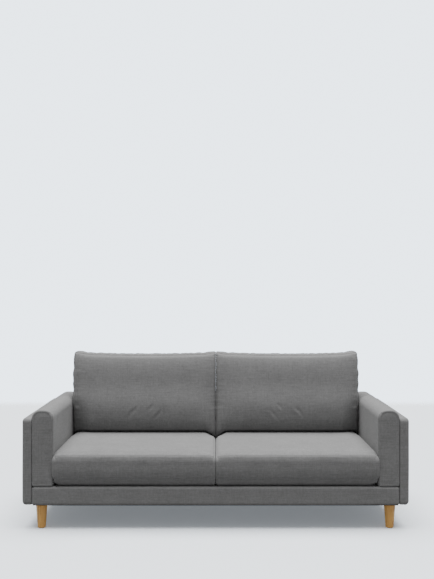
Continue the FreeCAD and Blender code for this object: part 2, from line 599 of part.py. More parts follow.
def build_back():
    half, y0, y1 = BACK_TIMBER_HALF, BACK_TIMBER_Y0, BACK_TIMBER_Y1
    lower_top, upper_bottom = BASE_TOP + BACK_TIMBER, BACK_TIMBER_TOP - BACK_TIMBER
    holes = [b["hole"] for b in back_bolts()]
    end_post = cut_all(block(half - BACK_TIMBER, half, y0, y1, lower_top, upper_bottom), holes)
    middle_post = block(-BACK_TIMBER / 2, BACK_TIMBER / 2, y0, y1, lower_top, upper_bottom)
    export("back_posts", end_post, middle_post, mirrored(end_post))
    lower = block(-half, half, y0, y1, BASE_TOP, lower_top)
    upper = block(-half, half, y0, y1, upper_bottom, BACK_TIMBER_TOP)
    export("back_rails", lower, upper)

    straps = []
    upright_y, cross_y = y0 - WEB_THICKNESS, y0 - 2 * WEB_THICKNESS
    for i in range(WEB_UPRIGHTS):
        x = -half + 2 * half * (i + 0.5) / WEB_UPRIGHTS - WEB_WIDTH / 2
        straps.append(block(x, x + WEB_WIDTH, upright_y, y0, lower_top - BACK_TIMBER / 2, BACK_TIMBER_TOP))
    room = (upper_bottom - lower_top - WEB_CROSSES * WEB_WIDTH) / (WEB_CROSSES + 1)
    for i in range(WEB_CROSSES):
        z = lower_top + room + i * (room + WEB_WIDTH)
        straps.append(block(-half, half, cross_y, upright_y, z, z + WEB_WIDTH))
    export("back_webbing", *straps)

    outer, inner = back_form(0), back_form(FABRIC)
    pocket = block(-half, half, cross_y, REAR, BASE_TOP, BACK_TIMBER_TOP)
    bolt_holes = holes + [mirrored(h) for h in holes]
    export("back_foam", cut_all(inner.cut(pocket), bolt_holes))

    window = (-SEAT_HALF + HEM, SEAT_HALF - HEM, BASE_TOP + HEM, BACK_TOP - HEM)
    rear_window = block(*window[:2], REAR - 2 * FABRIC, REAR + FABRIC, *window[2:])
    mouth = block(-half, half, BACK_TIMBER_Y0 - HEM, BACK_TIMBER_Y1, BASE_TOP - FABRIC, BASE_TOP + 2 * FABRIC)
    export("back_cover", cut_all(outer.cut(inner), [rear_window, mouth] + bolt_holes))
    gap = FABRIC / 4
    export("back_outer_panel", block(
        window[0] + gap, window[1] - gap, REAR - 2 * FABRIC, REAR, window[2] + gap, window[3] - gap,
    ))


# ---------------------------------------------------------------- zips
def zip_pieces():
    """A closed zip in its own frame: X along it, +Y out of the cover, whose face is y = 0."""
    half = ZIP_LENGTH / 2
    inside = -FABRIC
    tape = block(-half, half, inside - ZIP_TAPE, inside, -ZIP_TAPE_WIDTH / 2, ZIP_TAPE_WIDTH / 2)
    chain_half, chain_wide = half - SLIDER_GAP, ZIP_CHAIN_WIDTH / 2
    chain = block(-chain_half, chain_half, inside, ZIP_CHAIN_PROUD, -chain_wide, chain_wide)
    slot = block(-half, half, inside, FABRIC, -ZIP_SLOT / 2, ZIP_SLOT / 2)

    wall_in = ZIP_CHAIN_WIDTH / 2 + SLIDER_GAP
    wall_out = wall_in + SLIDER_WALL
    plate_y = ZIP_CHAIN_PROUD + SLIDER_GAP
    ends = (-SLIDER_LENGTH / 2, SLIDER_LENGTH / 2)
    slider = block(*ends, plate_y, plate_y + SLIDER_WALL, -wall_out, wall_out)
    for low, high in ((wall_in, wall_out), (-wall_out, -wall_in)):
        slider = slider.fuse(block(*ends, inside + SLIDER_GAP, plate_y, low, high))
    width, length, thickness = PULL_TAB
    tab_y = plate_y + SLIDER_WALL
    tab = block(-width / 2, width / 2, tab_y, tab_y + thickness, wall_in - length, wall_in)
    tab = tab.makeFillet(width / 3, edges_along(tab, "Y"))
    slider = slider.fuse(tab).removeSplitter()
    slider.translate(Vector(-half + ZIP_STOP, 0, 0))
    return tape.fuse(chain).removeSplitter(), slot, slider


def placed_zip(x, y, z, lean):
    """The three zip shapes at a point of a rear face that leans back by `lean` degrees."""
    made = []
    for shape in zip_pieces():
        shape.rotate(Vector(0, 0, 0), Vector(1, 0, 0), -lean)
        shape.translate(Vector(x, y, z))
        made.append(shape)
    return made


# ---------------------------------------------------------------- cushions
def seat_form(x0, inset):
    """A seat cushion's outline, with its left side at x0."""
    x1 = x0 + CUSHION_X1 - CUSHION_X0
    z1 = SEAT_Z1 - inset
    b = block(x0 + inset, x1 - inset, CUSHION_FRONT + inset, SEAT_Y1 - inset, SEAT_Z0 + inset, z1)
    b = b.makeFillet(SEAT_TOP_RADIUS - inset, edges_along(b, "Z") + edges_on_plane(b, "Z", z1))
    return b.makeFillet(SEAT_EDGE_RADIUS - inset, edges_on_plane(b, "Z", SEAT_Z0 + inset))


def back_cushion_form(x0, inset):
    """A back cushion's outline, with its left side at x0: thicker at its foot, and leaning back."""
    def rear(z):
        return BACK_FACE_AT_DECK + BACK_SLOPE * (z - BASE_TOP) - CUSHION_BACK_GAP

    outline = [
        (rear(BACK_Z0) - BACK_CUSHION_FOOT, BACK_Z0), (rear(BACK_Z0), BACK_Z0),
        (rear(HEIGHT), HEIGHT), (rear(HEIGHT) - BACK_CUSHION_TOP, HEIGHT),
    ]
    x1 = x0 + CUSHION_X1 - CUSHION_X0
    b = prism(inset_profile(outline, inset), x0 + inset, x1 - inset)
    return b.makeFillet(BACK_CUSHION_RADIUS - inset, b.Edges)


def build_cushions():
    middle = (CUSHION_X1 - CUSHION_X0) / 2
    seat_zip_z = (SEAT_Z0 + SEAT_Z1) / 2
    back_zip_z = BACK_Z0 + 2 * BACK_CUSHION_RADIUS
    back_zip_y = BACK_FACE_AT_DECK + BACK_SLOPE * (back_zip_z - BASE_TOP) - CUSHION_BACK_GAP
    for side, x0 in (("left", -CUSHION_X1), ("right", CUSHION_X0)):
        kinds = (
            ("seat_cushion", seat_form, "core", (SEAT_Y1, seat_zip_z, 0.0)),
            ("back_cushion", back_cushion_form, "fill", (back_zip_y, back_zip_z, BACK_LEAN)),
        )
        for kind, form, filling, (zip_y, zip_z, lean) in kinds:
            name = side + "_" + kind
            tape, slot, slider = placed_zip(x0 + middle, zip_y, zip_z, lean)
            export(name + "_cover", form(x0, 0).cut(form(x0, FABRIC)).cut(slot))
            export(name + "_" + filling, form(x0, FABRIC + FILL_GAP))
            export(name + "_zip", tape)
            export(name + "_zip_slider", slider)


def main():
    os.makedirs("parts", exist_ok=True)
    build_base_timber()
    build_base_soft()
    build_legs()
    build_bolts()
    build_springs()
    build_arms()
    build_side_panels()
    build_back()
    build_cushions()


main()
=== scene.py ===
# %% [markdown]
# # A sofa with loose cushions on tapered oak legs
#
# The frame, the legs, the springs and everything that moves come from the design model, and are loaded
# first. This lesson adds what that model leaves plain: stuffed cushions, padded arms and panels, woven
# fabric, oiled oak, zips, and a pale studio to see them in. Lengths are in metres.

# %% Load the frame
import json
import math
import time
import bmesh
import bpy
import numpy as np
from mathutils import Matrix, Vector, noise


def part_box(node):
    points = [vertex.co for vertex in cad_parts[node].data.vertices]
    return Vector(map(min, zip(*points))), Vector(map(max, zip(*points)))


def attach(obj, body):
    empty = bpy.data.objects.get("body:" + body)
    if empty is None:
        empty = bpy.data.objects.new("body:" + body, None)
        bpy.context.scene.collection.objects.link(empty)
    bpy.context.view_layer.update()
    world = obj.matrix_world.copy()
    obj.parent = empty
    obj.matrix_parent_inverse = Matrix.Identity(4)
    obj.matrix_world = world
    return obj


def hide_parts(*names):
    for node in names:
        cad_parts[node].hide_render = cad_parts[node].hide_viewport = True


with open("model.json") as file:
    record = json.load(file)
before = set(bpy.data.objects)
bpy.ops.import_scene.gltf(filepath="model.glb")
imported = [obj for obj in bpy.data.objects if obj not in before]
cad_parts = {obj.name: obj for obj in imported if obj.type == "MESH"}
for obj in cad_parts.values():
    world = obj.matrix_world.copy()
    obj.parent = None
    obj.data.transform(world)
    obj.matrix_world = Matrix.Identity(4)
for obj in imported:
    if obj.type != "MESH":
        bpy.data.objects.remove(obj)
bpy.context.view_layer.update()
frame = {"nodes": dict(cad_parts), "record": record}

# %% [markdown]
# ## Sizes
#
# Every place is read from the frame, so a sofa of another size gets upholstery that fits it. A few
# sizes belong to the upholsterer alone: how far a seam is from an edge, and how full a cushion is.

# %% Read the sizes
MM = 0.001


def corners(node):
    """The lowest and highest corner of a frame node, as arrays."""
    low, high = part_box(node)
    return np.array(low), np.array(high)


def points_of(node):
    """The points of a frame node's mesh, one row each."""
    return np.array([vertex.co for vertex in frame["nodes"][node].data.vertices])


def add_object(name, data):
    made = bpy.data.objects.new(name, data)
    bpy.context.scene.collection.objects.link(made)
    return made


BASE_LOW, BASE_HIGH = corners("base_cover")
DECK_LOW, DECK_HIGH = corners("deck_cloth")
ARM_LOW, ARM_HIGH = corners("right_arm_cover")
SIDE_HIGH = corners("right_side_cover")[1]
SEAT_LOW = corners("right_seat_cushion_cover")[0]
REST_LOW, REST_HIGH = corners("right_back_cushion_cover")
BACK_LOW, BACK_HIGH = corners("back_cover")
FRONT = SEAT_LOW[1]
ARM_TOP_RADIUS = 45 * MM

# %% [markdown]
# ## Camera
#
# Furniture is usually shown level and straight on, from about the eye height of someone who sits
# opposite. A level camera keeps the legs and arms upright. A long lens from well back keeps the arms
# from spreading; the lens here is a little longer than normal.

# %% Place the camera
CAMERA_AWAY = 4.70
CAMERA_HEIGHT = 1.24
CAMERA_SIDEWAYS = 0.007
CAMERA_LENS = 56.8

camera_data = bpy.data.cameras.new("camera")
camera_data.lens = CAMERA_LENS
camera_data.clip_end = 100
camera = add_object("camera", camera_data)
camera.location = (CAMERA_SIDEWAYS, FRONT - CAMERA_AWAY, CAMERA_HEIGHT)
camera.rotation_euler = (math.radians(90), 0, 0)
bpy.context.scene.camera = camera
print("camera at", [round(v, 2) for v in camera.location])

# %% [markdown]
# ## Shader maths as expressions
#
# A formula drawn in nodes is hard to read. The class below wraps one socket, so that `1 - mask * 0.3`
# adds the two Math nodes that it says. Any other node comes from one method, which takes the node's
# type, its settings and what goes into its sockets.

# %% A socket that can be added and multiplied
def both_ways(operation):
    """The two methods of one operator: with the wire on its left, and with the wire on its right."""
    def wire_first(self, other):
        return self.maths(operation, self, other)

    def wire_second(self, other):
        return self.maths(operation, other, self)

    return wire_first, wire_second


class Wire:
    """One value on its way through a material's nodes."""

    def __init__(self, recipe, socket):
        self.recipe = recipe
        self.socket = socket

    def maths(self, operation, *values):
        return self.recipe.node("Math", {"operation": operation}, dict(enumerate(values)))

    def __abs__(self):
        return self.maths("ABSOLUTE", self)

    def sine(self):
        return self.maths("SINE", self)

    __add__, __radd__ = both_ways("ADD")
    __sub__, __rsub__ = both_ways("SUBTRACT")
    __mul__, __rmul__ = both_ways("MULTIPLY")
    __pow__, __rpow__ = both_ways("POWER")
    __gt__ = both_ways("GREATER_THAN")[0]


# %% The one method that adds a node
class Recipe:
    """A material, or the world, while its nodes are being put together."""

    def __init__(self, owner):
        owner.use_nodes = True
        self.owner = owner
        self.tree = owner.node_tree
        self.tree.nodes.clear()

    def node(self, kind, settings=None, sockets=None, output=0):
        made = self.tree.nodes.new("ShaderNode" + kind)
        for name, value in (settings or {}).items():
            setattr(made, name, value)
        for name, value in (sockets or {}).items():
            if isinstance(value, Wire):
                self.tree.links.new(value.socket, made.inputs[name])
            else:
                made.inputs[name].default_value = value
        return Wire(self, made.outputs[output]) if made.outputs else made

    def mix_colours(self, amount, first, second):
        """`first` where amount is 0 and `second` where it is 1."""
        sockets = {0: amount, 6: first, 7: second}
        return self.node("Mix", {"data_type": "RGBA"}, sockets, output=2)

    def blend(self, amount, first, second):
        """The same for two plain numbers."""
        return first + (second - first) * amount

    def smooth(self, value, low, high):
        """0 below low and 1 above high, with an S-shaped step between."""
        sockets = {"Value": value, "From Min": low, "From Max": high}
        return self.node("MapRange", {"interpolation_type": "SMOOTHSTEP"}, sockets)

    def grain(self, place, scale, detail=2.0, roughness=0.5):
        """Noise about 0, from -0.5 to 0.5."""
        sockets = {"Vector": place, "Scale": scale, "Detail": detail, "Roughness": roughness}
        return self.node("TexNoise", None, sockets) - 0.5

    def bumped(self, height, distance, strength=1.0):
        sockets = {"Height": height, "Distance": distance, "Strength": strength}
        return self.node("Bump", None, sockets)

    def close(self, shader):
        self.node("OutputMaterial", None, {"Surface": shader})
        return self.owner


def rgb(red, green, blue):
    """A colour as screen values from 0 to 255, turned into the linear light that shaders use."""
    linear = [((v / 255 + 0.055) / 1.055) ** 2.4 for v in (red, green, blue)]
    return (*linear, 1.0)


print("shader helpers ready")

# %% [markdown]
# ## Woven upholstery fabric
#
# The cover is a matt mid-grey cloth with fine flecks: warp and weft yarns of slightly different greys,
# thicker in places. A picture of cloth would need unwrapping and would stretch where a cushion
# bulges. Here the weave is a formula in real millimetres instead. It is laid flat on whichever
# direction a face looks in, so it needs no unwrapping and has the same scale on every piece. Near a
# seam the cloth dips, and its colour is darkened as painted shade: a dark painted line in the seam and
# a broad painted shade beside it. Each mesh carries how near its points are to a seam as a value of its
# own.

# %% Weave the fabric
YARN = 2.4 * MM            # one over-and-under of the weave
SEAM_REACH = 20 * MM       # how far from a seam its nearness is counted


def flat_place(recipe):
    """Two coordinates that run across a surface, whichever of the three ways it faces."""
    place = recipe.node("TexCoord", output=3)
    facing = recipe.node("TexCoord", output=1)
    sizes = [abs(recipe.node("SeparateXYZ", None, {0: facing}, output=axis)) for axis in range(3)]
    x, y, z = [recipe.node("SeparateXYZ", None, {0: place}, output=axis) for axis in range(3)]
    sideways = (sizes[0] > sizes[1]) * (sizes[0] > sizes[2])
    upward = (sizes[2] > sizes[1]) * (sizes[2] > sizes[0])
    across = recipe.blend(sideways, x, y)
    along = recipe.blend(upward, z, y)
    return place, across, along


def fabric(name, light, dark, yarn=YARN, fleck=0.5, fuzz=0.12):
    """Plain-woven cloth in two greys."""
    recipe = Recipe(bpy.data.materials.new(name))
    place, across, along = flat_place(recipe)
    weft = (across * (math.pi / yarn)).sine()
    warp = (along * (math.pi / yarn)).sine()
    crossing = weft * warp
    crossing_height = abs(crossing) ** 0.5
    long_weft = recipe.node("CombineXYZ", None, {0: across * 60, 1: along * 900})
    long_warp = recipe.node("CombineXYZ", None, {0: across * 900, 1: along * 60})
    slubs = recipe.grain(long_weft, 1.0) + recipe.grain(long_warp, 1.0)
    broad_weft = recipe.node("CombineXYZ", None, {0: across * 12, 1: along * 190})
    broad_warp = recipe.node("CombineXYZ", None, {0: across * 190, 1: along * 12})
    streaks = recipe.grain(broad_weft, 1.0) + recipe.grain(broad_warp, 1.0) * 0.6
    mottle = recipe.grain(place, 70.0, 3.0, 0.6)
    shade = recipe.grain(place, 9.0, 2.0, 0.5)
    near = recipe.node("Attribute", {"attribute_name": "seam_near"}, output=2)
    # Nearness to a seam drives painted shade: a dark painted line in the seam and a broad painted shade
    # beside it. The line's mask also dips the bump.
    seam_line_dip_and_shade = recipe.smooth(near, 0.86, 0.99)
    beside_seam_painted_shade = recipe.smooth(near, 0.2, 1.0)
    amount = 0.5 + slubs * fleck + crossing * 0.16 + mottle * 0.35 + shade * 0.2 + streaks * 0.45
    # The colour is darkened near seams as painted shade.
    colour = recipe.mix_colours(amount - beside_seam_painted_shade * 0.12 - seam_line_dip_and_shade * 0.9, dark, light)
    height = crossing_height * 0.5 + slubs * 0.5 + mottle * 0.6 - seam_line_dip_and_shade * 2.0
    sockets = {
        "Base Color": colour,
        "Roughness": 0.92 - slubs * 0.1,
        "Specular IOR Level": 0.25,
        "Sheen Weight": fuzz,
        "Sheen Roughness": 0.45,
        "Normal": recipe.bumped(height, 0.5 * MM, 0.55),
    }
    return recipe.close(recipe.node("BsdfPrincipled", None, sockets))


def add_finish(name, kind, *looks, **more_looks):
    FINISHES[name] = kind(name, *looks, **more_looks)


FINISHES = {}
add_finish("grey_fabric", fabric, rgb(142, 142, 142), rgb(90, 90, 90))
add_finish("lining_cloth", fabric, rgb(58, 58, 60), rgb(26, 26, 28), yarn=1.2 * MM)
add_finish("felt", fabric, rgb(160, 154, 146), rgb(96, 92, 86), yarn=4 * MM, fleck=0.9)
add_finish("webbing", fabric, rgb(92, 86, 78), rgb(40, 37, 33), yarn=3 * MM)
print("fabrics woven")

# %% [markdown]
# ## Oak, softwood, foam, steel and plastic
#
# The legs are turned oak with a clear oil finish: a warm honey brown, darker lines where the rings
# come up to the surface, and short dark pores along the grain. The tree's rings are cylinders, so
# the pattern is the distance from an axis outside the leg, bent by noise that is stretched along the
# grain. The frame timber is the same idea in a paler, rougher wood. The rest is hidden inside.

# %% Make the hard finishes
def timber(name, light, dark, grain_axis, ring, gloss):
    """Wood whose rings run round an axis along the grain."""
    recipe = Recipe(bpy.data.materials.new(name))
    place = recipe.node("TexCoord", output=3)
    squeeze = [9.0, 9.0, 9.0]
    squeeze[grain_axis] = 0.9
    stretched = recipe.node("VectorMath", {"operation": "MULTIPLY"}, {0: place, 1: squeeze})
    parts = [recipe.node("SeparateXYZ", None, {0: place}, output=axis) for axis in range(3)]
    first, second = [part for axis, part in enumerate(parts) if axis != grain_axis]
    wobble = recipe.grain(stretched, 3.0, 3.0) * 0.030
    radius = ((first + 0.31) * (first + 0.31) + (second + 0.17) * (second + 0.17)) ** 0.5
    rings = ((radius + wobble) * (2 * math.pi / ring)).sine() * 0.5 + 0.5
    fibre_squeeze = [900.0, 900.0, 900.0]
    fibre_squeeze[grain_axis] = 22.0
    fibres_at = recipe.node("VectorMath", {"operation": "MULTIPLY"}, {0: place, 1: fibre_squeeze})
    fibres = recipe.grain(fibres_at, 1.0, 2.0)
    pores = recipe.smooth(fibres, 0.14, 0.24)
    tone = recipe.grain(stretched, 1.2, 2.0)
    colour = recipe.mix_colours(rings ** 2.2 * 0.75 + fibres * 0.5 + tone * 0.5, light, dark)
    colour = recipe.mix_colours(pores * 0.55, colour, [v * 0.35 for v in dark[:3]] + [1.0])
    sockets = {
        "Base Color": colour,
        "Roughness": gloss + rings * 0.1 + pores * 0.2,
        "Specular IOR Level": 0.4,
        "Normal": recipe.bumped(fibres * 0.4 - pores - rings * 0.3, 0.25 * MM, 0.5),
    }
    return recipe.close(recipe.node("BsdfPrincipled", None, sockets))


def speckled(name, light, dark, scale, roughness, metallic=0.0, dent=0.2 * MM):
    """A plain finish with fine variation: moulded plastic, wire, plated steel or open-cell foam."""
    recipe = Recipe(bpy.data.materials.new(name))
    place = recipe.node("TexCoord", output=3)
    coarse = recipe.grain(place, scale / 8, 3.0)
    fine = recipe.grain(place, scale, 2.0, 0.7)
    sockets = {
        "Base Color": recipe.mix_colours(0.5 + coarse * 0.9 + fine * 0.7, dark, light),
        "Roughness": roughness + fine * 0.2 + coarse * 0.15,
        "Metallic": metallic,
        "Normal": recipe.bumped(fine, dent, 0.4),
    }
    return recipe.close(recipe.node("BsdfPrincipled", None, sockets))


add_finish("oak", timber, rgb(222, 172, 96), rgb(176, 120, 54), 2, 7 * MM, 0.42)
add_finish("hidden_timber", timber, rgb(214, 180, 132), rgb(176, 134, 84), 0, 11 * MM, 0.7)
add_finish("foam", speckled, rgb(236, 230, 208), rgb(206, 198, 172), 900, 0.95, dent=0.6 * MM)
add_finish("spring_steel", speckled, rgb(60, 60, 62), rgb(28, 28, 30), 300, 0.4, 0.8)
add_finish("zinc_steel", speckled, rgb(206, 208, 212), rgb(158, 160, 166), 400, 0.32, 1.0, 0.05 * MM)
add_finish("glide_plastic", speckled, rgb(54, 54, 56), rgb(34, 34, 36), 500, 0.55)
add_finish("zip", speckled, rgb(84, 84, 86), rgb(52, 52, 54), 700, 0.6)
add_finish("zip_metal", speckled, rgb(86, 86, 90), rgb(58, 58, 62), 600, 0.35, 0.7, 0.05 * MM)

for part in frame["record"]["subparts"]:
    node_mesh = frame["nodes"][part["node"]].data
    node_mesh.materials.clear()
    node_mesh.materials.append(FINISHES[part["material_slot"]])
print(len(FINISHES), "finishes on the frame's own nodes")

# %% [markdown]
# ## One way to make every padded piece
#
# A cushion, an arm pad and a side panel are all the same thing: a rounded block of foam in a sewn
# cover. They could be sculpted one by one, or swollen from a cube. Here each starts as a box whose
# surface is one even grid of quads. A formula rounds the outline first and then the edges of its two
# faces, so every point knows how far over the edge it lies, and a seam is simply the points where
# that distance has one value.

# %% The grid and its rounding
SEAM_LINES = np.array([-8, -3, 0, 3, 8]) * MM      # extra grid lines beside each seam


def spaced(half, pitch, edge, fine, seams):
    """Grid lines from -half to half: `fine` apart near the ends, `pitch` apart between, and closer still
    beside each seam."""
    edge = min(edge, half * 0.8)
    end = np.linspace(half - edge, half, max(2, round(edge / fine)) + 1)
    steps = max(2, round(2 * (half - edge) / pitch))
    middle = np.linspace(-(half - edge), half - edge, steps + 1)[1:-1]
    lines = np.concatenate([-end, middle, end])
    for seam in seams:
        near = abs(lines - seam) < SEAM_LINES[-1] + fine / 2
        ends = abs(abs(lines) - half) < 1e-9
        added = seam + SEAM_LINES
        lines = np.concatenate([lines[~near | ends], added[abs(added) < half - MM]])
    return np.unique(lines.round(7))


def lattice(lines):
    """The surface of a box as one grid of quads, with no point used twice."""
    counts = [len(line) for line in lines]
    numbers, points, quads = {}, [], []

    def number(place):
        if place not in numbers:
            numbers[place] = len(points)
            points.append([lines[axis][place[axis]] for axis in range(3)])
        return numbers[place]

    for axis in range(3):
        second, third = (axis + 1) % 3, (axis + 2) % 3
        for side in (0, counts[axis] - 1):
            for i in range(counts[second] - 1):
                for j in range(counts[third] - 1):
                    ring = []
                    for di, dj in ((0, 0), (1, 0), (1, 1), (0, 1)):
                        place = [0, 0, 0]
                        place[axis], place[second], place[third] = side, i + di, j + dj
                        ring.append(number(tuple(place)))
                    quads.append(ring if side else ring[::-1])
    return np.array(points), quads


def squared_to_round(first, second):
    """Moves points of a square corner onto a round one: both arrays count from the corner's centre."""
    both = (first > 0) & (second > 0)
    length = np.where(both, np.hypot(first, second), 1)
    scale = np.where(both, np.maximum(first, second) / length, 1)
    return first * scale, second * scale


def softened(out, up, reach_out, reach_up):
    """Turns a sharp edge into a quarter of an oval. out and up are the distances in from its two faces,
    and the oval reaches that far along each of them."""
    first, second = squared_to_round(1 - out / reach_out, 1 - up / reach_up)
    return (1 - first) * reach_out, (1 - second) * reach_up


def round_block(points, half, outline_radii, depth_radii):
    """Rounds a box about the origin. The columns are across, up and deep, and the radii are for the low
    and high end of up, and of deep.

    It also returns the way over the edge: the depth on the sides, and beyond that the distance in from
    the outline on the two faces."""
    across, up, deep = points.T
    radius = np.where(up > 0, outline_radii[1], outline_radii[0])
    inner_across, inner_up = half[0] - radius, half[1] - radius
    past_across, past_up = squared_to_round(abs(across) - inner_across, abs(up) - inner_up)
    in_corner = (past_across > 0) & (past_up > 0)
    length = np.where(in_corner, np.hypot(past_across, past_up), 1)
    inward = radius - np.where(in_corner, length, np.maximum(past_across, past_up))
    inward = np.maximum(inward, 0)
    wide = past_across >= past_up
    toward_across = np.where(in_corner, past_across / length, wide)
    toward_up = np.where(in_corner, past_up / length, ~wide)

    edge = np.where(deep > 0, depth_radii[1], depth_radii[0])
    left, over = squared_to_round(edge - inward, abs(deep) - (half[2] - edge))
    moved = (edge - left) - inward
    new_across = np.sign(across) * (inner_across + past_across - toward_across * moved)
    new_up = np.sign(up) * (inner_up + past_up - toward_up * moved)
    new_deep = np.sign(deep) * (half[2] - edge + over)
    on_face = abs(deep) > half[2] - 1e-9
    way = np.sign(deep) * (abs(deep) + np.where(on_face, inward, 0))
    return np.column_stack([new_across, new_up, new_deep]), way


print("block helpers ready")

# %% [markdown]
# ## What a padded piece remembers
#
# While it is being shaped, a piece keeps its points as one array, so that moving thousands of them is
# one line. It also keeps where each point started, so that later steps can say "near the top".

# %% A padded piece
class Pad:
    """A padded piece that is being shaped."""

    def __init__(self, name, low, high, order, outline_radii, depth_radii, seams=(), pitch=11 * MM):
        """order names the row's axes that are the block's across, up and deep. Seams are values of the
        way over the edge."""
        self.name = name
        self.low, self.high, self.order = np.array(low), np.array(high), list(order)
        middle = (self.low + self.high) / 2
        self.half = ((self.high - self.low) / 2)[self.order]
        reach = max(*outline_radii, *depth_radii) * 1.3
        fine = pitch * 0.55
        on_sides = [seam for seam in seams if abs(seam) < self.half[2]]
        inward = sorted({round(abs(seam) - self.half[2], 5) for seam in seams if abs(seam) > self.half[2]})
        lines = []
        for axis in (0, 1):
            on_face = [sign * (self.half[axis] - d) for d in inward for sign in (-1, 1)]
            lines.append(spaced(self.half[axis], pitch, reach, fine, on_face))
        lines.append(spaced(self.half[2], pitch, reach, fine, on_sides))
        self.block, self.quads = lattice(lines)
        if self.order in ([0, 2, 1], [1, 0, 2], [2, 1, 0]):
            self.quads = [quad[::-1] for quad in self.quads]
        self.share = self.block / self.half
        shaped, self.way = round_block(self.block, self.half, outline_radii, depth_radii)
        self.points = np.empty_like(shaped)
        self.points[:, self.order] = shaped
        self.points += middle
        self.seam = np.full(len(shaped), 1.0)
        for seam in seams:
            self.seam = np.minimum(self.seam, abs(self.way - seam))

    def mesh(self):
        """The piece as a mesh."""
        made = bpy.data.meshes.new(self.name)
        made.from_pydata(self.points.tolist(), [], self.quads)
        made.polygons.foreach_set("use_smooth", [True] * len(self.quads))
        made.update()
        return made

    def normals(self):
        made = self.mesh()
        found = np.empty(len(self.points) * 3)
        made.vertex_normals.foreach_get("vector", found)
        bpy.data.meshes.remove(made)
        return found.reshape(-1, 3)

    def swell(self, amount):
        """Moves every point outwards by its own amount."""
        self.points += self.normals() * np.asarray(amount)[:, None]

    def lean(self, front, rear):
        """Leans and tapers the piece: front and rear give y at a height, as straight lines."""
        share = (self.points[:, 1] - self.low[1]) / (self.high[1] - self.low[1])
        height = self.points[:, 2]
        front_y, rear_y = np.polyval(front, height), np.polyval(rear, height)
        self.points[:, 1] = front_y + share * (rear_y - front_y)


def bell(distance, width):
    """1 at a distance of 0, fading away over about twice the width."""
    return np.exp(-((distance / width) ** 2))


def ease(value, low, high):
    """0 below low and 1 above high, with an S-shaped step between."""
    share = np.clip((value - low) / (high - low), 0, 1)
    return share * share * (3 - 2 * share)


def rolled(distance, width, depth):
    """How far a face has turned away from flat, at a distance in from its edge: a quarter of an oval."""
    share = np.clip(1 - distance / width, 0, 1)
    return depth * (1 - np.sqrt(1 - share ** 2))


def ripples(points, size, seed):
    """Slow, smooth unevenness from about -1 to 1, with bumps about `size` across."""
    shift = Vector((seed * 7.3, seed * 3.1, seed * 5.7))
    return np.array([noise.noise(Vector(point) / size + shift) for point in points])


def face_lines(node, edge):
    """The front and rear faces of a leaning block of the frame, each as a straight line of y by height."""
    points = points_of(node)
    foot, top = points[:, 2].min() + edge, points[:, 2].max() - edge
    at_foot = points[abs(points[:, 2] - foot) < edge / 3][:, 1]
    at_top = points[abs(points[:, 2] - top) < edge / 3][:, 1]
    fits = []
    for pick in (np.min, np.max):
        fits.append(np.polyfit([foot, top], [pick(at_foot), pick(at_top)], 1))
    return fits


print("pad helpers ready")

# %% [markdown]
# ## Seat cushions
#
# A seat cushion is a thick slab of foam in a boxed cover: a top panel, a band round the sides and a
# bottom panel. The top is crowned, and over the last few centimetres it slopes down to its seam with the
# band. Below that seam the front stands upright and bulges a little, and its foot turns under in a long,
# slow curve. At the back, a back cushion's inner corner presses a dip into the seat's inner edge.

# %% Shape the seat cushions
SEAT_CORNER = 12 * MM                  # of the outline, seen from above
SEAT_EDGE = 6 * MM
# How far each soft edge reaches: in from the upright face, and down or up it
SEAT_FRONT_TOP = (12 * MM, 9 * MM)
SEAT_FRONT_FOOT = (44 * MM, 105 * MM)
SEAT_REAR_TOP = (40 * MM, 36 * MM)
SEAT_REAR_FOOT = (24 * MM, 24 * MM)
SEAT_SIDE_TOP = (28 * MM, 22 * MM)
SEAT_INSIDE_FOOT = (10 * MM, 12 * MM)
SEAT_OUTSIDE_FOOT = (34 * MM, 34 * MM)
ROUND_FOOT_END = (60 * MM, 160 * MM)   # how far behind the front the outside foot gives way to the other
# How far each fall of the top reaches, and how deep it is
SEAT_BROW = (58 * MM, 23 * MM)         # towards the front
BROW_CURVE = 1.4                       # 1 for a straight slope, 2 for a rounder one
SEAT_SHOULDER = (110 * MM, 5 * MM)     # towards a side
SEAT_NOTCH = (64 * MM, 26 * MM)        # towards a side, under a back cushion's corner
OUTER_NOTCH = 0.25                     # the outer notch's depth, as a share of the inner one's
PRESSED_FROM = REST_LOW[1] - 90 * MM
PRESSED_FULLY = REST_LOW[1] + 30 * MM
SEAT_SEAM = 5 * MM                     # from the top down to the top seam
SEAT_UNDER_SEAM = 14 * MM              # from the underside up to the lower seam
SEAM_TURN = 10 * MM                    # how soon a bulge starts beside a seam
SEAM_CALM = 16 * MM                    # how far a seam keeps the cover beside it calm
SEAT_CROWN = 10 * MM
CROWN_RISE = 120 * MM                  # how far in from the edge the crown is whole
BAND_BULGE = 4 * MM
CORNER_BULGE = 7 * MM                  # where a front corner swells round the end of the arm
TOUCH = 1.7 * MM                       # how far neighbours move to close the gap between them
SLACK = 0.3 * MM                       # how far inside the frame's own cover this one lies


def seat_fall(from_side, y, inner):
    """How far the top of a seat cushion has fallen, near a side edge and under a back cushion. inner is
    true by the middle of the sofa, where the back cushions' corners press hardest."""
    reach, depth = SEAT_NOTCH
    depth = np.where(inner, depth, depth * OUTER_NOTCH)
    pressed = ease(y, PRESSED_FROM, PRESSED_FULLY)
    return rolled(from_side, *SEAT_SHOULDER) + depth * pressed * ease(-from_side, -reach, 0)


def soft_top_and_foot(out, z, top, low, top_reach, foot_reach):
    """Softens an upright face's top and bottom edge. out is the distance in from the face."""
    out, from_top = softened(out, top - z, *top_reach)
    out, from_foot = softened(out, top - from_top - low, *foot_reach)
    return out, low + from_foot


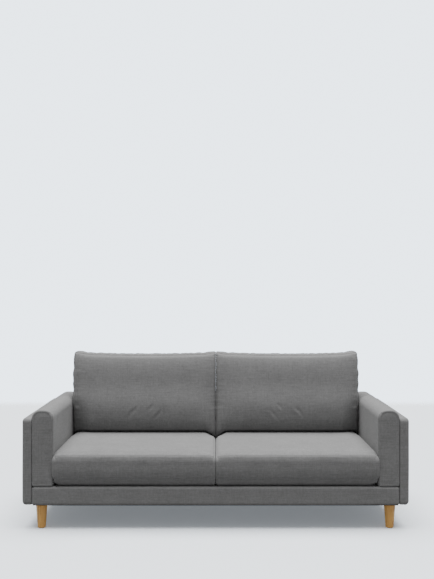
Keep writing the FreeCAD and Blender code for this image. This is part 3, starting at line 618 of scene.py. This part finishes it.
def seat_cushion(side):
    low, high = corners(side + "_seat_cushion_cover")
    deep = (high[2] - low[2]) / 2
    top_seam, under_seam = deep - SEAT_SEAM, -(deep - SEAT_UNDER_SEAM)
    pad = Pad(
        side + "_seat_cushion", low, high, (0, 1, 2), (SEAT_CORNER, SEAT_CORNER),
        (SEAT_EDGE, SEAT_EDGE), (top_seam, under_seam),
    )
    outward = 1 if side == "right" else -1
    across, up, _ = pad.share.T
    x, y, z = pad.points.T
    from_front, z = soft_top_and_foot(y - low[1], z, high[2], low[2], SEAT_FRONT_TOP, SEAT_FRONT_FOOT)
    y = low[1] + from_front
    from_rear, z = soft_top_and_foot(high[1] - y, z, high[2], low[2], SEAT_REAR_TOP, SEAT_REAR_FOOT)
    y = high[1] - from_rear

    top = high[2] - rolled(y - low[1], *SEAT_FRONT_TOP)
    from_side = np.minimum(x - low[0], high[0] - x)
    inside, inside_z = soft_top_and_foot(from_side, z, top, low[2], SEAT_SIDE_TOP, SEAT_INSIDE_FOOT)
    outside, outside_z = soft_top_and_foot(from_side, z, top, low[2], SEAT_SIDE_TOP, SEAT_OUTSIDE_FOOT)
    near_front = 1 - ease(y - low[1], *ROUND_FOOT_END)
    at_outer = near_front * (across * outward > 0)
    from_side = inside + (outside - inside) * at_outer
    x = np.where(across < 0, low[0] + from_side, high[0] - from_side)
    pad.points = np.column_stack([x, y, inside_z + (outside_z - inside_z) * at_outer])

    brow_reach, brow_depth = SEAT_BROW
    brow = brow_depth * np.clip(1 - (y - low[1]) / brow_reach, 0, 1) ** BROW_CURVE
    fall = brow + seat_fall((1 - abs(across)) * pad.half[0], y, across * outward < 0)
    pad.points[:, 2] -= ease(pad.way, -deep / 2, deep) * fall
    crown = (1 - across ** 8) * (1 - up ** 16) * (1 - ease(y, -0.02, REST_LOW[1]))
    pad.points[:, 2] += ease(pad.way, deep, deep + CROWN_RISE) * crown * SEAT_CROWN

    band = ease(pad.way, under_seam, under_seam + SEAM_TURN)
    band *= 1 - ease(pad.way, top_seam - SEAM_TURN, top_seam)
    calm = 1 - bell(pad.seam, SEAM_CALM)
    pad.swell(band * calm * BAND_BULGE * (up < 0) - SLACK)
    by_front = bell(pad.points[:, 1] - low[1] - 14 * MM, 10 * MM)
    side_shape = ease(pad.way, -deep, -deep * 0.4) * (1 - ease(pad.way, deep * 0.6, deep))
    at_end = ease(across * outward, 0.9, 1)
    pad.points[:, 0] += outward * at_end * by_front * CORNER_BULGE * side_shape
    pad.points[:, 0] -= outward * ease(-across * outward, 0.96, 1) * TOUCH
    seed = 1 if side == "left" else 4
    pad.points[:, 2] += ripples(pad.points, 0.16, seed) * 2.5 * MM * calm * ease(pad.way, deep, deep + 0.1)
    pad.points[:, 1] += ripples(pad.points, 0.14, seed + 1) * 2 * MM * calm * (up < -0.9)
    return pad


seat_pads = {side: seat_cushion(side) for side in ("left", "right")}
print("seat cushions:", [len(pad.points) for pad in seat_pads.values()], "points")

# %% [markdown]
# ## Back cushions
#
# A back cushion is softer: loose fibre in a boxed cover. The fibre settles, so the lower third
# bellies out over the seat and turns under in a wide curve, while the top edge sags between corners
# that the seams hold up. It leans back with the sofa's back, and it is thicker at the foot than at the
# top. The lower outer corners have little fibre in them and lie back beside the arm; the lower inner
# corners press on each other and hang into the dip between the seat cushions. Someone has leant on
# each cushion, which leaves a few slanting creases low down, where the belly starts.

# %% Shape the back cushions
REST_CORNER = 9 * MM
REST_ROLL = 20 * MM
REST_TOP = (150 * MM, 34 * MM)         # the soft roll at the top of the front: how far down, how deep
REST_FOOT = (90 * MM, 42 * MM)         # the other edges of the front, in the same way
REST_OUTSIDE = (70 * MM, 10 * MM)
REST_INSIDE = (40 * MM, 5 * MM)
STRIP = 27 * MM                        # the stitched strip down the outer edge
STRIP_DEPTH = 4 * MM
STRIP_ENDS = (0.24, 0.30)              # how far below the top the strip fades away
BELLY_HEIGHT = 0.155
BELLY = 18 * MM
EAR = 9 * MM                           # how far the top corners stand up
TOP_SAG = 9 * MM
REST_PITCH = 8 * MM                    # between the grid's lines
PLUMP = 5 * MM
EMPTY = 40 * MM                        # how far the lower outer corner lies back
DIP_REACH = (0.02, 0.12)               # the seats' dip is followed whole below the first of these heights
PUCKER = 2.6 * MM
CREASE_DEPTH = 3.8 * MM
CREASES = ((-0.072, 0.118, 62, 55), (-0.050, 0.135, 58, 40), (0.085, 0.110, 50, 62), (0.045, 0.150, 52, 34))


def crease(points, centre_x, centre_z, slant, length):
    """How much a crease dents each point. It runs at `slant` degrees from level, `length` mm long."""
    turn = math.radians(slant)
    dx, dz = points[:, 0] - centre_x, points[:, 2] - centre_z
    along = dx * math.cos(turn) + dz * math.sin(turn)
    beside = -dx * math.sin(turn) + dz * math.cos(turn) - along ** 2 * 1.5
    return bell(along, length / 2 * MM) * (bell(beside, 6 * MM) - 0.5 * bell(beside - 12 * MM, 8 * MM))


def puckers(points, axis, size, seed):
    """Ridges side by side along one axis, as cloth makes where it is gathered on to a seam. Their
    strength comes and goes."""
    along = np.zeros_like(points)
    along[:, axis] = points[:, axis]
    return ripples(along, size, seed) * (1 + ripples(along, size * 7, seed + 5))


def back_cushion(side):
    node = side + "_back_cushion_cover"
    low, high = corners(node)
    seat_low, seat_high = corners(side + "_seat_cushion_cover")
    deep = (high[1] - low[1]) / 2
    pad = Pad(
        side + "_back_cushion", low, high, (0, 2, 1), (REST_CORNER, REST_CORNER),
        (REST_ROLL, REST_ROLL), (-(deep - 4 * MM), deep - 4 * MM), REST_PITCH,
    )
    outward = 1 if side == "right" else -1
    across, up, deep_share = pad.share.T
    outer = across * outward
    from_outside = (1 - outer) * pad.half[0]
    from_inside = (1 + outer) * pad.half[0]
    from_top, from_foot = (1 - up) * pad.half[1], (1 + up) * pad.half[1]
    front = ease(-deep_share, -0.8, 1)
    pad.lean(*face_lines(node, REST_ROLL))

    on_front = deep_share < -0.999
    strip = on_front * (from_top > 5 * MM) * (1 - ease(from_top, *STRIP_ENDS))
    pad.seam = np.minimum(pad.seam, np.where(strip > 0, abs(from_outside - STRIP) + (1 - strip) * 0.05, 1))
    full = 1 - bell(pad.seam, 20 * MM)
    plump = (1 - across ** 6) * (1 - up ** 6)
    pad.points[:, 1] -= plump * PLUMP * (deep_share < -0.6)
    pad.points[:, 1] -= front * plump * bell(from_foot - BELLY_HEIGHT, 0.10) * BELLY
    fallen = rolled(from_top, *REST_TOP) + rolled(from_foot, *REST_FOOT)
    fallen += rolled(from_outside, *REST_OUTSIDE) + rolled(from_inside, *REST_INSIDE)
    empty_corner = (1 - ease(from_outside, 0, 0.12)) * (1 - ease(from_foot, 0.02, 0.22))
    pad.points[:, 1] += front * (fallen + empty_corner * EMPTY)

    ear = bell(from_outside, 60 * MM) + bell(from_inside, 45 * MM) * 0.6
    near_top = ease(up, 0.3, 1)
    pad.points[:, 2] += near_top * (ear * EAR - (1 - across ** 2) * TOP_SAG)
    x = pad.points[:, 0]
    edge = np.maximum(np.minimum(x - seat_low[0], seat_high[0] - x), 0)
    dip = seat_fall(edge, REST_HIGH[1], outer < 0) + rolled(edge, *SEAT_SIDE_TOP) * 0.7
    pad.points[:, 2] -= dip * (1 - ease(from_foot, *DIP_REACH))
    wave = ripples(pad.points * (0, 0, 1), 0.045, 17) * 4 * MM
    pad.points[:, 0] += wave * bell(from_outside, 20 * MM) * outward
    pad.points[:, 0] -= outward * ease(-outer, 0.96, 1) * TOUCH

    middle_x = (low[0] + high[0]) / 2
    for offset, rise, slant, length in CREASES:
        lean_way = slant if side == "left" else 180 - slant
        dent = crease(pad.points, middle_x - offset * outward, low[2] + rise, lean_way, length)
        pad.points[:, 1] += front * dent * CREASE_DEPTH
    by_foot = bell(from_foot - 0.055, 0.035)
    pad.points[:, 1] += front * by_foot * puckers(pad.points, 0, 14 * MM, 23) * PUCKER
    by_side = bell(from_inside, 30 * MM) + bell(from_outside - STRIP, 16 * MM)
    pad.points[:, 1] += front * by_side * puckers(pad.points, 2, 12 * MM, 27) * PUCKER * 1.3
    pad.points[:, 1] += front * bell(from_outside - STRIP, 7 * MM) * (strip > 0) * STRIP_DEPTH
    pad.points[:, 1] -= ripples(pad.points, 0.10, 9 if side == "left" else 13) * 4 * MM * full * front
    return pad


rest_pads = {side: back_cushion(side) for side in ("left", "right")}
print("back cushions:", [len(pad.points) for pad in rest_pads.values()], "points")

# %% [markdown]
# ## Arms, side panels, base and back
#
# These are upholstered over timber, so they are tighter than the cushions: a layer of foam under a
# cover that is pulled round and stapled out of sight. Each arm ends in a sewn panel the shape of the
# arm's cross-section, set a finger's width inside the edge. The outer side panels are thinner and
# firmer. The base is one long padded rail that turns the corners and carries the seat deck.

# %% Shape the fixed upholstery
ARM_ROLL = 9 * MM
ARM_INNER_EASE = (26 * MM, 7 * MM)     # the softer roll beside the seat: how wide, how deep
ARM_PANEL_IN = 14 * MM
SIDE_ROLL = 22 * MM
SIDE_INNER_ROLL = 5 * MM
BASE_ROLL = 12 * MM
DECK_RECESS = 2 * MM


def arm_pad(side):
    low, high = corners(side + "_arm_cover")
    deep = (high[1] - low[1]) / 2
    front_seam = -(deep + ARM_PANEL_IN)
    pad = Pad(
        side + "_arm", low, high, (0, 2, 1), (ARM_ROLL, ARM_TOP_RADIUS), (ARM_ROLL, ARM_ROLL),
        (front_seam, -front_seam),
    )
    outward = 1 if side == "right" else -1
    from_inside = (1 + pad.share[:, 0] * outward) * pad.half[0]
    at_front = ease(-pad.share[:, 2], 0.9, 1)
    pad.points[:, 1] += at_front * rolled(from_inside, *ARM_INNER_EASE)
    full = 1 - bell(pad.seam, 14 * MM)
    above_panel = ease(pad.points[:, 2], SIDE_HIGH[2] - 10 * MM, SIDE_HIGH[2] + 20 * MM)
    free = np.where(pad.share[:, 0] * outward > 0.98, above_panel, 1.0)
    pad.swell((full * 1.5 * MM - 1 * MM) * free)
    pad.swell(ripples(pad.points, 0.2, 21) * 1.6 * MM * full * free)
    return pad


def side_pad(side):
    low, high = corners(side + "_side_cover")
    radii = (SIDE_INNER_ROLL, SIDE_ROLL) if side == "right" else (SIDE_ROLL, SIDE_INNER_ROLL)
    outward = 1 if side == "right" else -1
    deep = (high[0] - low[0]) / 2
    pad = Pad(
        side + "_side", low, high, (1, 2, 0), (SIDE_ROLL, SIDE_ROLL), radii,
        (outward * (deep + SIDE_ROLL),),
    )
    full = 1 - bell(pad.seam, 12 * MM)
    outer = pad.way * outward > 0
    pad.swell(full * outer * 1.5 * MM - 0.5 * MM)
    pad.swell(ripples(pad.points, 0.22, 31) * 1.2 * MM * full * outer)
    return pad


def base_pad():
    low, high = BASE_LOW, BASE_HIGH
    pad = Pad("base", low, high, (0, 2, 1), (BASE_ROLL, BASE_ROLL), (BASE_ROLL, BASE_ROLL))
    on_deck = (pad.points[:, 2] > high[2] - MM) & (abs(pad.points[:, 0]) < DECK_HIGH[0] + 4 * MM)
    on_deck &= (pad.points[:, 1] > DECK_LOW[1] - 4 * MM) & (pad.points[:, 1] < DECK_HIGH[1] + 4 * MM)
    pad.points[on_deck, 2] -= DECK_RECESS
    outside = pad.points[:, 1] < low[1] + BASE_ROLL * 2
    pad.swell(ripples(pad.points, 0.18, 41) * 1.2 * MM * outside)
    return pad


def back_pad():
    low, high = BACK_LOW, BACK_HIGH
    pad = Pad("back", low, high, (0, 2, 1), (BASE_ROLL, BASE_ROLL), (BASE_ROLL, BASE_ROLL))
    cover = points_of("back_cover")
    upper = cover[cover[:, 2] > (low[2] + high[2]) / 2]
    front_point = upper[upper[:, 1].argmin()]
    front = np.polyfit([low[2], front_point[2]], [low[1], front_point[1]], 1)
    print("the back's front face runs from", low[1], "to", round(np.polyval(front, high[2]), 3), "at the top")
    pad.lean(front, [high[1]])
    panel_low, panel_high = corners("back_outer_panel")
    behind = pad.points[:, 1] > high[1] - MM
    for axis in (0, 2):
        behind &= (pad.points[:, axis] > panel_low[axis] - 3 * MM)
        behind &= (pad.points[:, axis] < panel_high[axis] + 3 * MM)
    pad.points[behind, 1] -= (panel_high[1] - panel_low[1]) + MM
    return pad


arm_pads = {side: arm_pad(side) for side in ("left", "right")}
side_pads = {side: side_pad(side) for side in ("left", "right")}
fixed_pads = {"base": base_pad(), "back": back_pad()}
print("arms, sides, base and back shaped")

# %% [markdown]
# ## Thin panels
#
# Some pieces are thin and lie on something flat: the felt pad over the springs, the cloth of the seat
# deck on it, the panel that closes the back, and the dust cover underneath. They use the same block,
# only a few millimetres thick, with a stitched or stapled line just inside the edge.

# %% Shape the thin panels
def thin_panel(name, node, order, bulge, seed, seen=1):
    """seen is 1 if the panel's outer face is on the high side, and -1 if it is on the low side."""
    low, high = corners(node)
    thickness = (high - low)[order[2]]
    edge = thickness * 0.45
    stitch_in = 12 * MM
    stitches = seen * (thickness / 2 + stitch_in)
    pad = Pad(name, low, high, order, (edge, edge), (edge, edge), (stitches,), pitch=22 * MM)
    full = 1 - bell(pad.seam, 10 * MM)
    outside = pad.way * seen > 0
    pad.swell((bulge + ripples(pad.points, 0.25, seed) * 0.6 * MM) * full * outside)
    return pad


panel_pads = {
    "felt": thin_panel("deck_felt", "deck_pad", (0, 1, 2), -0.2 * MM, 50),
    "deck": thin_panel("seat_deck", "deck_cloth", (0, 1, 2), -0.3 * MM, 51),
    "outer_back": thin_panel("outer_back", "back_outer_panel", (0, 2, 1), 1.5 * MM, 52),
    "dust": thin_panel("underside_cloth", "dust_cover", (0, 1, 2), -0.2 * MM, 53, -1),
}
print("thin panels shaped")

# %% [markdown]
# ## Filling the cushions
#
# So far the four loose cushions are smooth forms. A real cover is cut a little larger than its filling
# and is blown tight by it, so it wrinkles where it is held: along the seams and in the corners. That is
# what a cloth simulation does. Each cover is held fast at its seams and on the faces that rest on
# something, and very loosely elsewhere, as if by the filling. Pressure inside pushes it out. There is no
# gravity in it, because the form already has its settled shape. The movement is taken over with a soft
# limit, so that no cushion grows into its neighbour.

# %% Simulate the covers
FRAMES = 20
PRESSURE = 4.0
HELD_REACH = 6 * MM          # how far from a seam the cover is held fast
# How much larger the cover is than its filling, how firmly the filling holds it, and the most it moves
FOAM_FILLED = (0.008, 0.35, 1.6 * MM)
FIBRE_FILLED = (0.028, 0.14, 8 * MM)


def cloth_piece(pad, resting, spare, firm):
    """A cloth object in the shape of a pad. resting is 1 where the pad lies on something."""
    made = add_object(pad.name + "_cloth", pad.mesh())
    held = made.vertex_groups.new(name="held")
    weights = np.maximum(ease(-pad.seam, -HELD_REACH * 2, -HELD_REACH), resting)
    weights = np.maximum(weights, firm)
    for index, weight in enumerate(weights.tolist()):
        held.add([index], weight, "REPLACE")
    cloth = made.modifiers.new("cloth", "CLOTH")
    cloth.settings.quality = 5
    cloth.settings.mass = 0.3
    cloth.settings.tension_stiffness = 15
    cloth.settings.compression_stiffness = 8
    cloth.settings.shear_stiffness = 5
    cloth.settings.bending_stiffness = 0.4
    cloth.settings.use_pressure = True
    cloth.settings.uniform_pressure_force = PRESSURE
    cloth.settings.shrink_min = -spare
    cloth.settings.vertex_group_mass = "held"
    cloth.settings.pin_stiffness = 1.0
    cloth.settings.effector_weights.gravity = 0
    cloth.point_cache.frame_end = FRAMES
    return made


def take_over(pad, cloth_object, most):
    """Moves a pad's points to where the simulation left them, but never by more than `most`."""
    view = bpy.context.evaluated_depsgraph_get()
    found = cloth_object.evaluated_get(view).data
    places = np.empty(len(pad.points) * 3)
    found.vertices.foreach_get("co", places)
    moved = places.reshape(-1, 3) - pad.points
    length = np.maximum(np.linalg.norm(moved, axis=1), 1e-9)
    limited = most * np.tanh(length / most)
    pad.points += moved * (limited / length)[:, None]
    bpy.data.objects.remove(cloth_object)
    return length.max(), length.mean()


loose = []
for pad in seat_pads.values():
    under_or_rear = np.maximum(-pad.share[:, 2], pad.share[:, 1])
    loose.append((pad, under_or_rear, FOAM_FILLED))
loose += [(pad, pad.share[:, 2], FIBRE_FILLED) for pad in rest_pads.values()]
started = time.time()
cloths = [cloth_piece(pad, ease(side, 0.8, 1), *kind[:2]) for pad, side, kind in loose]
for frame_number in range(1, FRAMES + 1):
    bpy.context.scene.frame_set(frame_number)
for (pad, _, kind), cloth_object in zip(loose, cloths):
    furthest, mean = take_over(pad, cloth_object, kind[2])
    print(pad.name, "moved up to", round(furthest / MM, 1), "mm, mean", round(mean / MM, 1), "mm")
bpy.context.scene.frame_set(1)
print("simulated in", round(time.time() - started), "s")

# %% [markdown]
# ## Keeping clear
#
# Two cushions that touch press each other flat. The covers are trimmed to the middle line between the
# cushions, to the arms and to the seat deck, so that nothing grows into anything else.

# %% Trim the cushions to their neighbours
HAIR = 0.15 * MM             # from a cover to the middle line or an arm
CORNER_FREE = 22 * MM        # how far behind a cushion's front its corner may pass the arm


def trim(pad, side, past_arm):
    """Keeps a cushion on its side of the middle, and no further out than its arm plus past_arm."""
    outward = 1 if side == "right" else -1
    away = pad.points[:, 0] * outward
    pad.points[:, 0] = np.clip(away, HAIR, ARM_LOW[0] - HAIR + past_arm) * outward


for side in ("left", "right"):
    at_front = seat_pads[side].points[:, 1] < SEAT_LOW[1] + CORNER_FREE
    trim(seat_pads[side], side, at_front * CORNER_BULGE)
    above_arm = rest_pads[side].points[:, 2] > ARM_HIGH[2] - ARM_TOP_RADIUS
    trim(rest_pads[side], side, above_arm * ARM_TOP_RADIUS)
    seat_pads[side].points[:, 2] = np.maximum(seat_pads[side].points[:, 2], DECK_HIGH[2] + HAIR / 2)
print("cushions trimmed")

# %% [markdown]
# ## Turning shapes into pieces
#
# The last step is the same for every pad. The seam is pulled in as a narrow channel, the points near
# it get their nearness as a value for the fabric to read, and one level of subdivision smooths the
# grid. Then the piece is parented to the body of the frame it moves with, and the plain nodes it
# stands for are hidden.

# %% Make the pieces
CHANNEL = 2.5 * MM
CHANNEL_WIDTH = 4 * MM


def add_piece(name, made, body, nodes, slot):
    """Puts a mesh in the scene as a piece that moves with a body and stands for some nodes."""
    made.materials.append(FINISHES[slot])
    piece = add_object(name, made)
    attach(piece, body)
    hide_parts(*nodes)
    return piece


def finish_pad(pad, body, nodes, slot="grey_fabric", channel=CHANNEL):
    pad.swell(-channel * bell(pad.seam, CHANNEL_WIDTH))
    made = pad.mesh()
    near = made.attributes.new("seam_near", "FLOAT", "POINT")
    # The fabric reads this nearness for its painted seam shade and the seam's dip. It is scaled by the
    # channel's depth, so a shallower seam gets less painted shade.
    strength = channel / CHANNEL
    near.data.foreach_set("value", np.clip(1 - pad.seam / SEAM_REACH, 0, 1) * strength)
    piece = add_piece(pad.name, made, body, nodes, slot)
    smooth = piece.modifiers.new("smooth", "SUBSURF")
    smooth.levels = 1
    smooth.render_levels = 1
    return piece


for side in ("left", "right"):
    cushion = side + "_seat_cushion"
    finish_pad(seat_pads[side], cushion, [cushion + "_cover", cushion + "_core"], channel=0.9 * MM)
    cushion = side + "_back_cushion"
    finish_pad(rest_pads[side], cushion, [cushion + "_cover", cushion + "_fill"], channel=1.6 * MM)
    arm_nodes = [side + "_arm_cover", side + "_arm_foam"]
    finish_pad(arm_pads[side], "frame", arm_nodes, channel=0.8 * MM)
    side_nodes = [side + "_side_cover", side + "_side_foam"]
    finish_pad(side_pads[side], "frame", side_nodes, channel=0.5 * MM)
finish_pad(fixed_pads["base"], "frame", ["base_cover", "base_front_foam"])
finish_pad(fixed_pads["back"], "frame", ["back_cover", "back_foam"])
finish_pad(panel_pads["outer_back"], "frame", ["back_outer_panel"], channel=1 * MM)
felt = finish_pad(panel_pads["felt"], "frame", ["deck_pad"], "felt", 0.3 * MM)
deck = finish_pad(panel_pads["deck"], "frame", ["deck_cloth"], "lining_cloth", 0.3 * MM)
dust = finish_pad(panel_pads["dust"], "frame", ["dust_cover"], "lining_cloth", 0.1 * MM)
print("pieces made")

# %% [markdown]
# ## Springs and webbing
#
# The seat stands on zigzag springs: black lacquered wire bent into waves, hooked into clips on the
# front and rear rails. How many there are and where they lie is read from the clips. The wire is a
# ring of points carried along the waves. Behind the back cushions, webbing is woven over and under,
# and stretched over the back frame.

# %% Bend the springs and weave the webbing
WIRE_SIDES = 8
LOOP_STEPS = 8
SPRING_BAR = 24 * MM
CLIP_GAP = 30 * MM           # less than the space between two springs' clips


def groups_along(values, gap):
    """The middles of clusters of values that are more than `gap` apart."""
    values = np.unique(np.round(values, 5))
    parts = np.split(values, np.where(np.diff(values) > gap)[0] + 1)
    return [(part[0] + part[-1]) / 2 for part in parts]


def skin(rings):
    """Points and faces of a closed skin over a row of rings that have the same number of points."""
    count, sides = rings.shape[:2]
    faces = []
    for ring in range(count - 1):
        for turn in range(sides):
            a, b = ring * sides + turn, ring * sides + (turn + 1) % sides
            faces.append([a, a + sides, b + sides, b])
    last = (count - 1) * sides
    faces.append(list(range(sides)))
    faces.append([last + turn for turn in reversed(range(sides))])
    return rings.reshape(-1, 3), faces


def tube(path, radius, sides):
    """A round tube along a level path."""
    path = np.array(path)
    ahead = np.gradient(path, axis=0)
    ahead /= np.linalg.norm(ahead, axis=1)[:, None]
    beside = np.column_stack([-ahead[:, 1], ahead[:, 0], np.zeros(len(path))])
    above = np.array([0, 0, 1])
    turns = np.linspace(0, 2 * math.pi, sides, endpoint=False)
    rings = [path + radius * (math.cos(turn) * beside + math.sin(turn) * above) for turn in turns]
    return skin(np.stack(rings, axis=1))


def zigzag(centre, front, rear, height, loop):
    """The wire's middle line: cross bars joined by half-circle loops."""
    waves = round((rear - front) / (2 * loop))
    loop = (rear - front) / (2 * waves)
    path = []
    for wave in range(waves + 1):
        y, way = front + wave * 2 * loop, 1 if wave % 2 == 0 else -1
        path.append((centre - way * SPRING_BAR / 2, y, height))
        path.append((centre + way * SPRING_BAR / 2, y, height))
        for step in range(1, LOOP_STEPS if wave < waves else 1):
            turn = math.pi * step / LOOP_STEPS
            across = centre + way * (SPRING_BAR / 2 + loop * math.sin(turn))
            path.append((across, y + loop - loop * math.cos(turn), height))
    return path


def joined_piece(name, shapes, slot, nodes):
    """One piece of the fixed frame, from several sets of points and faces."""
    points, faces = [], []
    for shape_points, shape_faces in shapes:
        faces += [[index + len(points) for index in face] for face in shape_faces]
        points += np.asarray(shape_points).tolist()
    made = bpy.data.meshes.new(name)
    made.from_pydata(points, [], faces)
    made.polygons.foreach_set("use_smooth", [len(face) == 4 for face in faces])
    return add_piece(name, made, "frame", nodes, slot)


spring_low, spring_high = corners("seat_springs")
wire = (spring_high[2] - spring_low[2]) / 2
centres = groups_along(points_of("spring_clips")[:, 0], CLIP_GAP)
loop_radius = spring_high[0] - wire - centres[-1] - SPRING_BAR / 2
spring_line = (spring_low[1] + wire, spring_high[1] - wire, (spring_low[2] + spring_high[2]) / 2)
coils = [tube(zigzag(centre, *spring_line, loop_radius), wire, WIRE_SIDES) for centre in centres]
joined_piece("zigzag_springs", coils, "spring_steel", ["seat_springs"])
print(len(coils), "springs of", len(coils[0][1]), "faces")

# %% [markdown]
# A strap is a ribbon that follows a line: straight across the frame, but in front of one crossing strap
# and behind the next. Neighbouring straps do the opposite, which is what holds a weave together.

# %% Weave the webbing
WEAVE_STEPS = 8              # points for each strap that is crossed
STRAP_FILL = 0.9             # a strap's thickness, as a share of half the frame's own


def strap_places(values):
    """The middle and width of each strap, from the places of its edges."""
    edges = np.unique(np.round(values, 4))
    return (edges[0::2] + edges[1::2]) / 2, edges[1] - edges[0]


def strap(start, end, width_axis, half_width, half_thick, crossings, parity):
    """A flat strap that goes over and under the straps it crosses."""
    run_axis = 2 - width_axis
    shares = np.linspace(0, 1, len(crossings) * WEAVE_STEPS)
    middles = np.array(start) + np.outer(shares, np.array(end) - np.array(start))
    for number, place in enumerate(crossings):
        away = bell(middles[:, run_axis] - place, half_width)
        middles[:, 1] += parity * (-1) ** number * half_thick * away
    rings = []
    for across, out in ((-1, -1), (1, -1), (1, 1), (-1, 1)):
        corner = middles.copy()
        corner[:, width_axis] += across * half_width
        corner[:, 1] += out * half_thick * STRAP_FILL
        rings.append(corner)
    return skin(np.stack(rings, axis=1))


web_points = points_of("back_webbing")
web_low, web_high = corners("back_webbing")
upright_x, web_width = strap_places(web_points[web_points[:, 2] > web_high[2] - MM][:, 0])
cross_z, _ = strap_places(web_points[web_points[:, 0] > web_high[0] - MM][:, 2])
web_y, web_thick = (web_low[1] + web_high[1]) / 2, (web_high[1] - web_low[1]) / 2
straps = []
for places, crossings, width_axis, sign in ((upright_x, cross_z, 0, 1), (cross_z, upright_x, 2, -1)):
    for number, place in enumerate(places):
        start, end = web_low.copy(), web_high.copy()
        start[1] = end[1] = web_y
        start[width_axis] = end[width_axis] = place
        parity = sign * (-1) ** number
        straps.append(strap(start, end, width_axis, web_width / 2, web_thick / 2, crossings, parity))
joined_piece("woven_webbing", straps, "webbing", ["back_webbing"])
print(len(upright_x), "upright straps and", len(cross_z), "cross straps")

# %% [markdown]
# ## Studio
#
# A pale floor meets a pale wall in a soft line, under one very large, soft light from above. Light from
# above is what makes upholstery read: seat tops are light, fronts are darker, and every fold has a
# shadow under it. A real studio keeps the lit wall far behind, so that it hardly lights the front of
# the sofa. Here the wall is a large pale shell that can be seen but sheds no light, and the world
# around it gives the weak light that fills the shadows.

# %% Build the studio
WALL_RADIUS = 14.0
FLOOR_HALF = 5.1
FLOOR_LINE = 4.5             # where the floor starts to fade into the wall
WALL_GLOW = (3.1, 3.5, 3.95, 1.0)
FLOOR_GLOW = 0.22
FILL = 0.41
SUN = 6.5
SUN_SPREAD = 56
SUN_TILT = 1


def staged(name, shape, material):
    mesh = bpy.data.meshes.new(name)
    shape.to_mesh(mesh)
    shape.free()
    mesh.materials.append(material)
    made = add_object(name, mesh)
    return made


def floor_material():
    recipe = Recipe(bpy.data.materials.new("studio_floor"))
    place = recipe.node("TexCoord", output=3)
    x, y = [abs(recipe.node("SeparateXYZ", None, {0: place}, output=axis)) for axis in range(2)]
    fade = recipe.smooth(x.maths("MAXIMUM", x, y), FLOOR_LINE, FLOOR_HALF)
    tint = recipe.mix_colours(0.5 + recipe.grain(place, 2.0) * 0.2, rgb(234, 240, 246), rgb(238, 244, 250))
    matt = recipe.node("BsdfDiffuse", None, {"Color": tint})
    glow = recipe.node("Emission", None, {"Color": rgb(226, 234, 242), "Strength": FLOOR_GLOW})
    lit = recipe.node("AddShader", None, {0: matt, 1: glow})
    clear = recipe.node("BsdfTransparent")
    return recipe.close(recipe.node("MixShader", None, {0: fade, 1: lit, 2: clear}))


def wall_material():
    recipe = Recipe(bpy.data.materials.new("studio_wall"))
    return recipe.close(recipe.node("Emission", None, {"Color": WALL_GLOW, "Strength": 1.0}))


ground = bmesh.new()
bmesh.ops.create_grid(ground, x_segments=8, y_segments=8, size=FLOOR_HALF)
floor = staged("studio_floor", ground, floor_material())
floor.visible_diffuse = False
shell = bmesh.new()
bmesh.ops.create_icosphere(shell, subdivisions=3, radius=WALL_RADIUS)
wall = staged("studio_wall", shell, wall_material())
for kind in ("diffuse", "glossy", "transmission", "volume_scatter", "shadow"):
    setattr(wall, "visible_" + kind, False)

world = bpy.data.worlds.new("studio")
bpy.context.scene.world = world
sky = Recipe(world)
fill_light = sky.node("Background", None, {"Color": rgb(255, 255, 255), "Strength": FILL})
sky.node("OutputWorld", None, {"Surface": fill_light})

overhead_data = bpy.data.lights.new("overhead", "SUN")
overhead_data.energy = SUN
overhead_data.angle = math.radians(SUN_SPREAD)
overhead = add_object("overhead", overhead_data)
overhead.rotation_euler = (math.radians(-SUN_TILT), 0, 0)
print("studio lit")
